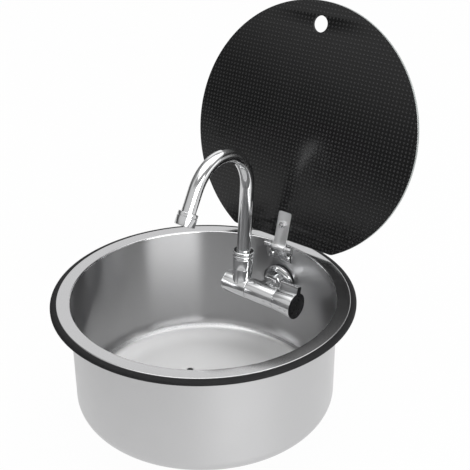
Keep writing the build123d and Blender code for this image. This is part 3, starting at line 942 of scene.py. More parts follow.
@dataclass(frozen=True)
class DarkGlass:
    """Dark glass with a grid of small dots.

    Args:
        name: The material's name.
        ground: The glass's colour.
        dots: The dots' colour.
        roughness: How rough the glass is.
        relief: How far the dots stand out, in metres.
        shine: The main shader's specular level.
    """

    name: str
    ground: Triple
    dots: Triple
    roughness: float
    relief: float
    shine: float

    pitch = 4.9
    dot = 0.30
    dot_core = 0.45
    smear_scale = 18.0
    smear = 0.03
    refraction = 1.5

    def make(self) -> Finish:
        """Makes the finish.

        Returns:
            The material.
        """
        s = Shader(self.name)
        upright = (math.radians(SINK.lean - 90.0), 0.0, 0.0)
        turned = s.result("ShaderNodeMapping", {"Vector": s.place, "Rotation": upright})
        per = 1 / (self.pitch * MM)
        cell = s.vector("FRACTION", s.vector("MULTIPLY", turned, (per, per, 0.0)))
        away = s.vector("LENGTH", s.vector("SUBTRACT", cell, (0.5, 0.5, 0.0)))
        spot = s.ramp(away, (self.dot, self.dot * self.dot_core))
        smear = s.noise(s.place, self.smear_scale, 3.0)
        s.set(
            Base_Color=s.blend(spot, self.ground, self.dots),
            Roughness=s.spread(smear, self.roughness - self.smear, self.roughness + self.smear),
            IOR=self.refraction,
            Specular_IOR_Level=self.shine,
            Normal=s.bump(spot, self.relief),
        )
        return s.material


@dataclass(frozen=True)
class GlassRim:
    """The ground and polished rim of the glass."""

    name: str
    colour: Triple
    roughness: float

    streak_scale = 45.0
    streak_shade = 0.86
    streak_roughness = (0.7, 1.3)
    polish = 0.5
    polish_roughness = 0.05

    def make(self) -> Finish:
        """Makes the finish.

        Returns:
            The material.
        """
        s = Shader(self.name)
        streak = s.noise(s.place, self.streak_scale, 3.0)
        low, high = (self.roughness * share for share in self.streak_roughness)
        s.set(
            Base_Color=s.blend(s.spread(streak), shaded(self.colour, self.streak_shade), self.colour),
            Roughness=s.spread(streak, low, high),
            Coat_Weight=self.polish,
            Coat_Roughness=self.polish_roughness,
        )
        return s.material


class Finishes:
    """Every finish on the sink, each made once."""

    def __init__(self) -> None:
        """Makes the materials."""
        steel = (0.43, 0.43, 0.435)
        self.bowl = DrawnSteel(
            name="bowl_inside",
            colour=steel,
            roughness=0.28,
            anisotropy=0.98,
            grain=Grain.ROUND,
            floor_colour=(0.73, 0.73, 0.73),
            # The floor's pale edge colour is a painted highlight along the bend.
            painted_highlight_colour=(0.97, 0.97, 0.97),
            edge=(104.0, 134.0),
            floor_roughness=0.5,
            floor_metal=0.1,
            bend_roughness=0.27,
            foot=3.0,
            bend=9.0,
        ).make()
        self.ledge = BrushedSteel("bowl_ledge", steel, 0.15, 0.0, Grain.ROUND).make()
        self.outside = BrushedSteel("bowl_outside", (0.54, 0.54, 0.545), 0.36, 0.5, Grain.ROUND).make()
        self.strip = BrushedSteel("brushed_strip", (0.76, 0.76, 0.765), 0.33, 0.0, Grain.STRAIGHT).make()
        self.leaf = BrushedSteel("polished_leaf", (0.62, 0.62, 0.625), 0.17, 0.0, Grain.STRAIGHT).make()
        self.fastener = BrushedSteel("turned_steel", (0.70, 0.70, 0.705), 0.13, 0.0, Grain.STRAIGHT).make()
        self.chrome = Chrome("bright_chrome", (0.68, 0.685, 0.69), 0.09).make()
        self.brass = Chrome("raw_brass", (0.72, 0.53, 0.26), 0.24).make()
        self.seal = Moulded("seal_rubber", (0.006, 0.006, 0.0065), 0.6, 0.00002).make()
        self.gasket = Moulded("gasket_rubber", (0.016, 0.016, 0.017), 0.62, 0.00003).make()
        self.plastic = Moulded("drain_plastic", (0.018, 0.018, 0.019), 0.50, 0.00004).make()
        self.nylon = Moulded("white_nylon", (0.74, 0.74, 0.71), 0.45, 0.00001).make()
        self.plate = Moulded("handle_plate", (0.012, 0.012, 0.013), 0.30, 0.00001).make()
        self.lid_under = DarkGlass(
            name="lid_under",
            ground=(0.0035, 0.0035, 0.0037),
            dots=(0.022, 0.022, 0.0225),
            roughness=0.22,
            relief=0.0001,
            shine=0.44,
        ).make()
        self.lid_upper = DarkGlass(
            name="lid_upper",
            ground=(0.008, 0.008, 0.0085),
            dots=(0.014, 0.014, 0.0145),
            roughness=0.22,
            relief=0.0,
            shine=0.25,
        ).make()
        self.lid_rim = GlassRim("lid_rim", (0.20, 0.215, 0.21), 0.2).make()
        self.lid_hole = Moulded("lid_hole", (0.014, 0.014, 0.0145), 0.6, 0.00001).make()


class Fitter:
    """Gives finished pieces their material and body, and lets them stand for their solids."""

    def __init__(self, nodes: dict[str, Piece]) -> None:
        """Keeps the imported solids."""
        self.nodes = nodes

    def place(
        self,
        made: Piece,
        body: str,
        slot: str,
        materials: Sequence[Finish],
        solids: Sequence[str],
        choose: Chooser | None = None,
    ) -> None:
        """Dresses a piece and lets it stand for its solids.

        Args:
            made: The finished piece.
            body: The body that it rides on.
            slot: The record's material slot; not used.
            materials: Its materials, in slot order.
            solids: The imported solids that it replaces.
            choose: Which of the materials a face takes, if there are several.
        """
        made.data.materials.clear()
        for material in materials:
            made.data.materials.append(material)
        for face in made.data.polygons:
            face.material_index = choose(face) if choose else 0
        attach(made, body)
        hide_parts(*solids)
        log.info("%s: %d faces on %s", made.name, len(made.data.polygons), body)

    def dress(self, material: Finish, *names: str) -> None:
        """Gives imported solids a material.

        Args:
            material: The finish.
            names: The solids.
        """
        for name in names:
            slots = self.nodes[name].data.materials
            slots.clear()
            slots.append(material)
            log.info("%s: solid dressed in %s", name, material.name)


class Repeats(NodeSheet):
    """A geometry node tree for what repeats, with named inputs."""

    def __init__(self, name: str) -> None:
        """Starts an empty tree that takes and gives a mesh."""
        super().__init__(bpy.data.node_groups.new(name, "GeometryNodeTree"))
        for way in ("INPUT", "OUTPUT"):
            self.tree.interface.new_socket("Geometry", in_out=way, socket_type="NodeSocketGeometry")
        self.values: dict[str, Any] = {}
        self.source = self.add("NodeGroupInput")

    def size(self, name: str, value: Any, kind: str = "NodeSocketFloat") -> Socket:
        """Adds a named input.

        Args:
            name: What the input is called.
            value: What this piece sets it to.
            kind: The socket's type.

        Returns:
            The input's socket in the tree.
        """
        item = self.tree.interface.new_socket(name, in_out="INPUT", socket_type=kind)
        self.values[item.identifier] = value
        return self.source.outputs[name]

    def moved(self, shape: Socket, by: Socket, turn: Socket | Triple = (0.0, 0.0, 0.0)) -> Socket:
        """Turns a shape about the origin and moves it.

        Args:
            shape: The geometry.
            by: How far it moves.
            turn: The angles that it turns by.

        Returns:
            The moved geometry.
        """
        where = {"Geometry": shape, "Translation": by, "Rotation": turn}
        return self.result("GeometryNodeTransform", where)

    def set_out(self, points: Socket, shape: Socket, turn: Socket | None = None) -> Socket:
        """Sets a copy of a shape on each point.

        Args:
            points: The points.
            shape: The shape.
            turn: How each copy is turned, if it is.

        Returns:
            The copies.
        """
        inputs = {"Points": points, "Instance": shape}
        if turn is not None:
            inputs["Rotation"] = turn
        return self.result("GeometryNodeInstanceOnPoints", inputs)

    def drilled(self, shape: Socket, points: Socket, radius: Socket, depth: Any, sides: int) -> Socket:
        """Drills a hole through a shape at each point.

        Args:
            shape: The geometry.
            points: The holes' middles.
            radius: The holes' radius.
            depth: How long the drill is.
            sides: How many sides it has.

        Returns:
            The drilled geometry.
        """
        sizes = {"Vertices": sides, "Radius": radius, "Depth": depth}
        drill = self.result("GeometryNodeMeshCylinder", sizes)
        drills = self.result("GeometryNodeRealizeInstances", {0: self.set_out(points, drill)})
        meshes = {"Mesh 1": shape, "Mesh 2": drills}
        return self.result("GeometryNodeMeshBoolean", meshes, operation="DIFFERENCE", solver="EXACT")

    def run(self, shape: Socket, material: Finish, made: Piece, workshop: Workshop) -> Piece:
        """Ends the tree, runs it on a piece and keeps the result as its mesh.

        Args:
            shape: The finished geometry.
            material: Its material.
            made: The piece.
            workshop: What bakes it.

        Returns:
            The piece.
        """
        real = self.result("GeometryNodeRealizeInstances", {0: shape})
        dressed = self.result("GeometryNodeSetMaterial", {"Geometry": real, "Material": material})
        self.add("NodeGroupOutput", {"Geometry": dressed})
        step = made.modifiers.new(self.tree.name, "NODES")
        step.node_group = self.tree
        for key, value in self.values.items():
            step[key] = value
        workshop.bake(made)
        workshop.smooth(made.data)
        return made


@dataclass(frozen=True)
class Thread:
    """A screw thread's ridge, in millimetres.

    Args:
        root: The root's radius.
        crest: The outer radius.
        pitch: From one turn to the next.
        turns: How many turns it has.
    """

    root: float
    crest: float
    pitch: float
    turns: float

    bury = 0.05
    land = 0.42
    steps = 40

    def wind(self, name: str, place: Matrix, material: Finish, workshop: Workshop) -> Piece:
        """Winds the ridge with a node tree.

        Args:
            name: The piece's name.
            place: The matrix from local millimetres, z along the thread.
            material: Its finish.
            workshop: What bakes it.

        Returns:
            The ridge as a closed piece.
        """
        tree = Repeats(name)
        wound = tree.size("Turns", self.turns)
        middle = tree.size("Middle Radius", (self.root + self.crest) / 2 - self.bury)
        tall = tree.size("Height", self.pitch * self.turns)
        wide = tree.size("Ridge Width", self.pitch * self.land)
        deep = tree.size("Ridge Depth", self.crest - self.root + 2 * self.bury)
        line = tree.result(
            "GeometryNodeCurveSpiral",
            {
                "Resolution": self.steps,
                "Rotations": wound,
                "Start Radius": middle,
                "End Radius": middle,
                "Height": tall,
            },
        )
        line = tree.result("GeometryNodeSetCurveNormal", {"Curve": line}, mode="Z_UP")
        block = {"Width": deep, "Height": wide}
        shape = tree.result("GeometryNodeCurvePrimitiveQuadrilateral", block, mode="RECTANGLE")
        swept = {"Curve": line, "Profile Curve": shape, "Fill Caps": True}
        ridge = tree.result("GeometryNodeCurveToMesh", swept)
        made = tree.run(ridge, material, workshop.piece(name), workshop)
        made.data.transform(place)
        return made


@dataclass
class Assembly:
    """A group of pieces that is made together.

    Args:
        workshop: What makes the meshes.
        finishes: The materials.
        fitter: What places the pieces.
    """

    workshop: Workshop
    finishes: Finishes
    fitter: Fitter

    def build(self) -> None:
        """Makes the pieces and puts them in place."""
        raise NotImplementedError


@dataclass
class Bowl(Assembly):
    """The drawn bowl with its ledge, rolled lip and punched holes, and the seal round its rim."""

    flange_r: float = 170.0
    floor_bend: float = 19.0
    rim_bend: float = 2.0
    lip_bend: float = 1.4
    lip_h: float = 3.6
    bend_steps: int = 14
    drain_ring_r: float = 22.0
    drain_hole_r: float = 4.3
    drain_holes: int = 6
    drain_first: float = 128.0
    drain_sides: int = 48
    drill_len: float = 6.0
    screw_hole_r: float = 2.6
    shank_hole_r: float = 11.3
    shank_from: float = 100.0
    shank_to: float = 200.0
    seal_out_r: float = 176.54
    seal_in_r: float = 160.0
    seal_drop: float = 0.5
    seal_heel: float = 1.6
    seal_steps: int = 15

    facing_up = 0.2
    facing_in = 0.2
    not_level = 0.1

    def side_of_sheet(self, t: float) -> Loop:
        """Draws one side of the sheet, from the floor's middle to the lip.

        Args:
            t: How far it lies behind the inner side.

        Returns:
            The side's points.
        """
        floor, top = SINK.floor_z - t, SINK.rim_z - t
        return rounded(
            [
                (0.0, floor, 0.0),
                (SINK.wall_r + t, floor, self.floor_bend + t),
                (SINK.wall_r + t, top, self.rim_bend - t),
                (self.flange_r - t, top, self.lip_bend - t),
                (self.flange_r - t, SINK.rim_z - self.lip_h, 0.0),
            ],
            closed=False,
            steps=self.bend_steps,
        )

    def punch(self, made: Piece) -> None:
        """Punches the ring of drain holes with a node tree.

        Args:
            made: The bowl.
        """
        tree = Repeats("punched_ring")
        count = tree.size("Count", self.drain_holes, "NodeSocketInt")
        across = tree.size("Ring Radius", self.drain_ring_r * MM)
        hole = tree.size("Hole Radius", self.drain_hole_r * MM)
        first = tree.size("First Angle", math.radians(self.drain_first))
        middle = SINK.under_floor().point(0.0, 0.0, SINK.sheet / 2)
        centre = tree.size("Centre", tuple(middle), "NodeSocketVector")
        points = tree.result("GeometryNodeMeshCircle", {"Vertices": count, "Radius": across})
        placed = tree.moved(points, centre, tree.result("ShaderNodeCombineXYZ", {2: first}))
        bowl = tree.source.outputs["Geometry"]
        cut = tree.drilled(bowl, placed, hole, self.drill_len * MM, self.drain_sides)
        tree.run(cut, self.finishes.bowl, made, self.workshop)

    def build(self) -> None:
        """Makes the bowl and its seal."""
        shop = self.workshop
        outline = self.side_of_sheet(0.0) + self.side_of_sheet(SINK.sheet)[::-1]
        bowl = shop.lathe("bowl", outline, Placing(), Turning.BOWL)
        half = self.drill_len / 2
        cuts = [
            shop.rod("screw_hole", self.screw_hole_r, -half, half, SINK.under_floor()),
            shop.rod("shank_hole", self.shank_hole_r, self.shank_from, self.shank_to, SINK.through_wall()),
        ]
        shop.fit(bowl, cuts, Joining.CUT)
        self.punch(bowl)
        coats = [self.finishes.bowl, self.finishes.ledge, self.finishes.outside]
        self.fitter.place(bowl, "sink", "bowl_steel", coats, ["sink_bowl"], self.zone)
        seal = shop.lathe("seal_ring", self.seal_outline(), Placing(), Turning.BOWL)
        self.fitter.place(seal, "sink", "seal_rubber", [self.finishes.seal], ["rim_seal"])

    def zone(self, face: bpy.types.MeshPolygon) -> int:
        """Finds which of the bowl's zones a face lies in.

        Args:
            face: The face.

        Returns:
            The zone's number.
        """
        x, y, z = face.center / MM
        out = math.hypot(x, y)
        inward = -(face.normal.x * x + face.normal.y * y) / max(out, 1.0)
        if z > SINK.rim_z - self.rim_bend and face.normal.z > self.facing_up:
            return BowlZone.LEDGE.value
        on_wall = inward > self.facing_in and out < SINK.wall_r + SINK.sheet / 2
        if face.normal.z > self.not_level or on_wall:
            return BowlZone.INSIDE.value
        return BowlZone.OUTSIDE.value

    def seal_outline(self) -> Loop:
        """Draws the seal's cross-section: a foot, a grip under the ledge and a rounded outer lip.

        Returns:
            The outline's points.
        """
        start = self.flange_r + SINK.slack
        lip = SINK.rim_z - self.lip_h - SINK.slack
        inner = self.flange_r - SINK.sheet - self.lip_bend
        under = SINK.rim_z - SINK.sheet
        foot = rounded(
            [
                (inner, lip, 0.0),
                (inner, under, 0.3),
                (self.seal_in_r, under, 0.5),
                (self.seal_in_r, 0.0, 0.5),
                (self.seal_out_r, 0.0, 0.4),
                (self.seal_out_r, self.seal_heel, 0.0),
            ],
            closed=False,
        )
        bulge = (self.seal_out_r - start, SINK.rim_z - self.seal_drop - self.seal_heel)
        return foot + arc((start, self.seal_heel), bulge, 0.0, 90.0, self.seal_steps)[1:] + [(start, lip)]


@dataclass
class Drain(Assembly):
    """The screw in the floor and the plastic cup under it."""

    head_r: float = 5.5
    head_h: float = 2.2
    cross_size: Pair = (2.75, 0.36)
    cross_deep: float = 1.3
    screw_r: float = 2.5
    screw_len: float = 17.0
    gasket_h: float = 2.0
    cup_in_r: float = 28.3
    cup_wall: float = 2.4
    flange_w: float = 4.0
    flange_h: float = 3.0
    cup_depth: float = 16.0
    cone_h: float = 8.0
    spigot_r: float = 12.5
    spigot_wall: float = 2.6
    spigot_len: float = 26.0
    insert_r: float = 3.95
    post_wall: float = 2.35
    rib_t: float = 2.4
    ribs: int = 3
    first_rib: float = 158.0

    def cup_outline(self) -> Loop:
        """Draws the cup's cross-section.

        Returns:
            The outline's points.
        """
        out = self.cup_in_r + self.cup_wall
        top = -self.gasket_h
        low = top - self.cup_depth
        neck = low - self.cone_h
        end = neck - self.spigot_len
        bore = self.spigot_r - self.spigot_wall
        return rounded(
            [
                (self.cup_in_r, top, 0.3),
                (out + self.flange_w, top, 0.4),
                (out + self.flange_w, top - self.flange_h, 0.6),
                (out, top - self.flange_h, 0.8),
                (out, low, 3.0),
                (self.spigot_r, neck, 2.0),
                (self.spigot_r, end, 0.6),
                (bore, end, 0.4),
                (bore, neck + self.cup_wall, 2.0),
                (self.cup_in_r, low + self.cup_wall, 3.0),
            ],
            steps=5,
        )

    def spider(self) -> Piece:
        """Makes the ribs that carry the screw's post, with a node tree.

        Returns:
            The ribs.
        """
        tall = self.cup_depth - self.cup_wall
        reach = self.cup_in_r + self.cup_wall / 2 - self.insert_r
        tree = Repeats("drain_ribs")
        count = tree.size("Count", self.ribs, "NodeSocketInt")
        first = tree.size("First Angle", math.radians(self.first_rib))
        box = tree.size("Rib Size", (reach * MM, self.rib_t * MM, tall * MM), "NodeSocketVector")
        away = tree.size("Rib Middle", (self.insert_r + reach / 2) * MM)
        middle = SINK.floor_z - SINK.sheet - self.gasket_h - tall / 2
        place = (SINK.drain_x * MM, SINK.drain_y * MM, middle * MM)
        centre = tree.size("Centre", place, "NodeSocketVector")
        rib = tree.result("GeometryNodeMeshCube", {"Size": box})
        rib = tree.moved(rib, tree.result("ShaderNodeCombineXYZ", {0: away}))
        spots = tree.result("GeometryNodePoints", {"Count": count})
        step = tree.math("DIVIDE", math.tau, count)
        angle = tree.math("MULTIPLY_ADD", tree.result("GeometryNodeInputIndex"), step, first)
        ribs = tree.set_out(spots, rib, tree.result("ShaderNodeCombineXYZ", {2: angle}))
        empty = self.workshop.piece("drain_ribs")
        return tree.run(tree.moved(ribs, centre), self.finishes.plastic, empty, self.workshop)

    def build(self) -> None:
        """Makes the cup and the screw, and dresses the gasket and the insert."""
        shop = self.workshop
        under = SINK.under_floor()
        cup = shop.lathe("drain_cup_shell", self.cup_outline(), under, Turning.STEM)
        top = -self.gasket_h
        low = top - self.cup_depth + self.cup_wall
        bore, out = self.insert_r, self.insert_r + self.post_wall
        wall = rounded([(bore, top, 0.2), (out, top, 0.4), (out, low, 0.4), (bore, low, 0.2)])
        post = shop.lathe("drain_post", wall, under, Turning.ROD)
        shop.fit(cup, [post, self.spider()], Joining.UNION)
        self.fitter.place(cup, "sink", "drain_plastic", [self.finishes.plastic], ["drain_cup"])
        seat = SINK.sheet
        head, end = seat + self.head_h, seat - self.screw_len
        corners = [
            (0.0, head, 0.0),
            (self.head_r, head, 1.5),
            (self.head_r, seat, 0.2),
            (self.screw_r, seat, 0.0),
            (self.screw_r, end, 0.5),
            (0.0, end, 0.0),
        ]
        screw = shop.turned("drain_screw_turned", corners, under, Turning.ROD)
        deep = (head - self.cross_deep, head + 1.0)
        shop.fit(screw, shop.cross("driver_slot", self.cross_size, deep, under, 0.05), Joining.CUT)
        self.fitter.place(screw, "sink", "fastener_steel", [self.finishes.fastener], ["drain_screw"])
        self.fitter.dress(self.finishes.gasket, "drain_gasket")
        self.fitter.dress(self.finishes.brass, "drain_insert")


@dataclass
class LidHinge(Assembly):
    """The leaf on the bowl's wall with its screws, and the strap bolted to the glass."""

    knuckle_r: float = 3.4
    bore_r: float = 1.25
    strap_w: float = 18.6
    strap_t: float = 1.2
    strap_len: float = 46.0
    strap_corner: float = 2.5
    strap_edge: float = 0.25
    curl_steps: int = 40
    hole_points: int = 32
    blank_t: float = 12.0
    bolt_r: float = 2.5
    bolt_play: float = 0.1
    bolt_end: float = 3.5
    head_r: float = 7.0
    head_h: float = 2.4
    washer_t: float = 1.0
    nut_af: float = 8.0
    nut_h: float = 4.0
    pitch: float = 0.8
    thread_deep: float = 0.35
    plain: float = 1.0
    runout: float = 0.4
    leaf_in_r: float = 152.0
    screw_x: float = 12.5
    screw_drop: float = 13.5
    screw_r: float = 2.0
    screw_head_r: float = 3.4
    screw_head_h: float = 1.8
    screw_nut_h: float = 3.2
    screw_past: float = 1.5
    cross_size: Pair = (1.9, 0.3)
    cross_deep: float = 0.9
    screws: int = 2

    @property
    def strap_face(self) -> float:
        """The strap's front, from the hinge pin towards the front."""
        return self.strap_t - self.knuckle_r

    def strap(self) -> Piece:
        """Makes the strap, which curls round the hinge pin.

        Returns:
            The strap.
        """
        s, c = leaning(SINK.lean)
        side = Placing((0.0, SINK.hinge_y, SINK.hinge_z), (0.0, s, c), (1, 0, 0))
        r, face, end = self.knuckle_r, self.strap_face, self.strap_len
        meet = math.degrees(math.asin(face / r))
        outline = arc((0.0, 0.0), (r, r), meet, 270.0, self.curl_steps) + [(end, -r), (end, face)]
        half = self.strap_w / 2
        bore = ring(self.bore_r, points=self.hole_points, hole=True)
        strap = self.workshop.plate("lid_strap_bent", [outline, bore], (-half, half), side, self.strap_edge)
        corner = self.strap_corner
        tip = rounded([(-half, -2 * r, 0.0), (half, -2 * r, 0.0), (half, end, corner), (-half, end, corner)])
        hole = ring(self.bolt_r + self.bolt_play, SINK.bolt_up, self.hole_points, True)
        thick = (-self.blank_t / 2, self.blank_t / 2)
        blank = self.workshop.plate("strap_blank", [tip, hole], thick, SINK.on_lid(), 0.02)
        return self.workshop.fit(strap, [blank], Joining.COMMON)

    def stud(self) -> Piece:
        """Makes the bolt: a low round head behind the glass and a threaded end in front.

        Returns:
            The bolt.
        """
        axis = SINK.on_lid(SINK.bolt_up)
        back = -(SINK.glass_back + SINK.glass_t + self.washer_t)
        plain = self.strap_face + self.plain
        first = plain + self.runout
        end = self.strap_face + self.nut_h + self.bolt_end
        root = self.bolt_r - self.thread_deep
        corners = [
            (0.0, back - self.head_h, 0.0),
            (self.head_r, back - self.head_h, 2.2),
            (self.head_r, back, 0.3),
            (self.bolt_r, back, 0.0),
            (self.bolt_r, plain, 0.2),
            (root, first, 0.0),
            (root, end - 0.2, 0.0),
            (root - 0.5, end, 0.1),
            (0.0, end, 0.0),
        ]
        bolt = self.workshop.turned("lid_bolt_turned", corners, axis, Turning.ROD)
        thread = Thread(root, self.bolt_r, self.pitch, (end - first - self.runout) / self.pitch)
        start = axis.matrix() @ Matrix.Translation((0, 0, first))
        ridge = thread.wind("stud_thread", start, self.finishes.fastener, self.workshop)
        return self.workshop.fit(bolt, [ridge], Joining.UNION)

    def leaf_screw(self, seat: float) -> Piece:
        """Makes one of the leaf's screws.

        Args:
            seat: The radius about the bowl's axis at which its head sits.

        Returns:
            The screw, with its head at the origin and its tip along z.
        """
        top, r = -self.screw_head_h, self.screw_head_r
        outside = SINK.wall_r + SINK.sheet + SINK.slack
        end = outside + self.screw_nut_h + self.screw_past - seat
        corners = [
            (0.0, top, 0.0),
            (r - 0.9, top, 0.9),
            (r, -0.5, 0.3),
            (r, 0.0, 0.15),
            (self.screw_r, 0.0, 0.0),
            (self.screw_r, end, 0.3),
            (0.0, end, 0.0),
        ]
        screw = self.workshop.turned("leaf_screw", corners, Placing(), Turning.SCREW)
        deep = (top - 1.0, top + self.cross_deep)
        cuts = self.workshop.cross("screw_slot", self.cross_size, deep, Placing(), 0.04)
        return self.workshop.fit(screw, cuts, Joining.CUT)

    def leaf_screws(self) -> Piece:
        """Sets the leaf's screws round the wall with a node tree.

        Returns:
            All the screws as one piece.
        """
        seat = math.sqrt(self.leaf_in_r**2 - self.screw_head_r**2) - SINK.slack
        screw = self.leaf_screw(seat)
        turn = math.asin(self.screw_x / SINK.wall_r)
        tree = Repeats("screws_round_wall")
        one = tree.size("Screw", screw, "NodeSocketObject")
        count = tree.size("Count", self.screws, "NodeSocketInt")
        across = tree.size("Seat Radius", seat * MM)
        first = tree.size("First Angle", math.pi / 2 - turn)
        spread = tree.size("Spread", 2 * turn)
        height = tree.size("Height", (SINK.hinge_z - self.screw_drop) * MM)
        sweep = {"Resolution": count, "Radius": across, "Start Angle": first, "Sweep Angle": spread}
        line = tree.result("GeometryNodeCurveArc", sweep, mode="RADIUS")
        points = tree.result("GeometryNodeCurveToPoints", {"Curve": line}, mode="EVALUATED")
        outward = tree.result("GeometryNodeInputPosition")
        turned = tree.result("FunctionNodeAlignRotationToVector", {"Vector": outward}, axis="Z")
        shape = tree.add("GeometryNodeObjectInfo", {"Object": one}, transform_space="ORIGINAL")
        placed = tree.set_out(points, shape.outputs["Geometry"], turned)
        moved = tree.moved(placed, tree.result("ShaderNodeCombineXYZ", {2: height}))
        empty = self.workshop.piece("leaf_screw_pair")
        made = tree.run(moved, self.finishes.fastener, empty, self.workshop)
        bpy.data.objects.remove(screw)
        return made

    def build(self) -> None:
        """Makes the hinge's pieces."""
        finishes, fitter = self.finishes, self.fitter
        steel = [finishes.fastener]
        leaf = self.workshop.from_solid("hinge_leaf_bent", fitter.nodes["hinge_leaf"])
        fitter.place(leaf, "sink", "hinge_steel", [finishes.leaf], ["hinge_leaf"])
        fitter.place(self.leaf_screws(), "sink", "fastener_steel", steel, ["hinge_leaf_screws"])
        fitter.place(self.strap(), "lid", "hinge_steel", [finishes.strip], ["lid_strap"])
        nut = self.workshop.nut(
            "lid_nut_six_sided",
            (self.nut_af, self.bolt_r + SINK.slack),
            (self.strap_face, self.strap_face + self.nut_h),
            SINK.on_lid(SINK.bolt_up),
            0.45,
            self.hole_points,
        )
        fitter.place(nut, "lid", "fastener_steel", steel, ["lid_nut"])
        fitter.place(self.stud(), "lid", "fastener_steel", steel, ["lid_bolt"])
        fitter.dress(finishes.fastener, "hinge_pin", "hinge_leaf_nuts")
        fitter.dress(finishes.gasket, "lid_pad")
        fitter.dress(finishes.nylon, "lid_bush", "lid_washer")


@dataclass
class GlassLid(Assembly):
    """The round glass with its straight hinge edge and finger hole."""

    lid_r: float = 157.55
    lid_y: float = 150.2
    chord_y: float = 11.1
    chord_corner: float = 3.0
    round_steps: int = 260
    corner_steps: int = 6
    corner_step: float = 0.15
    finger_y: float = 280.4
    finger_r: float = 10.0
    bolt_hole_r: float = 3.45
    bolt_points: int = 32
    edge: float = 0.6

    face_on = 0.9
    near_hole = 1.2

    def outline(self) -> Loop:
        """Draws the glass's outline: an arc and a chord with eased corners.

        Returns:
            The outline's points.
        """
        start = math.asin((self.chord_y - self.lid_y) / self.lid_r)
        ease = self.chord_corner / self.lid_r
        low, high = math.degrees(start + ease), math.degrees(math.pi - start - ease)
        outline = arc((0.0, self.lid_y), (self.lid_r, self.lid_r), low, high, self.round_steps)
        corner_x = self.lid_r * math.cos(start)
        corners: Loop = []
        for way, on_arc in ((-1.0, outline[-1]), (1.0, outline[0])):
            bend = Vector((way * corner_x, self.chord_y))
            ends = [Vector(on_arc), bend - Vector((way * self.chord_corner, 0.0))]
            first, last = ends if way < 0 else ends[::-1]
            for k in range(1, self.corner_steps + 1):
                t = self.corner_step * k
                corners.append(tuple(first * (1 - t) ** 2 + bend * 2 * t * (1 - t) + last * t**2))
        return outline + corners

    def build(self) -> None:
        """Makes the glass and gives each side its finish."""
        loops = [
            self.outline(),
            ring(self.finger_r, self.finger_y, hole=True),
            ring(self.bolt_hole_r, SINK.bolt_up, self.bolt_points, True),
        ]
        thick = (-SINK.glass_back - SINK.glass_t, -SINK.glass_back)
        glass = self.workshop.plate("lid_glass", loops, thick, SINK.on_lid(), self.edge)
        made = self.finishes
        coats = [made.lid_under, made.lid_upper, made.lid_rim, made.lid_hole]
        self.fitter.place(glass, "lid", "lid_glass", coats, ["glass_lid"], self.side)

    def side(self, face: bpy.types.MeshPolygon) -> int:
        """Finds which side of the glass a face lies on.

        Args:
            face: The face.

        Returns:
            The side's number.
        """
        s, c = leaning(SINK.lean)
        facing = face.normal.dot(Vector((0.0, -c, s)))
        if abs(facing) < self.face_on:
            x, y, z = face.center / MM
            up = (y - SINK.hinge_y) * s + (z - SINK.hinge_z) * c
            away = min(math.hypot(x, up - middle) for middle in (self.finger_y, SINK.bolt_up))
            return LidSide.HOLE.value if away < self.near_hole * self.finger_r else LidSide.RIM.value
        return LidSide.UNDER.value if facing > 0 else LidSide.UPPER.value


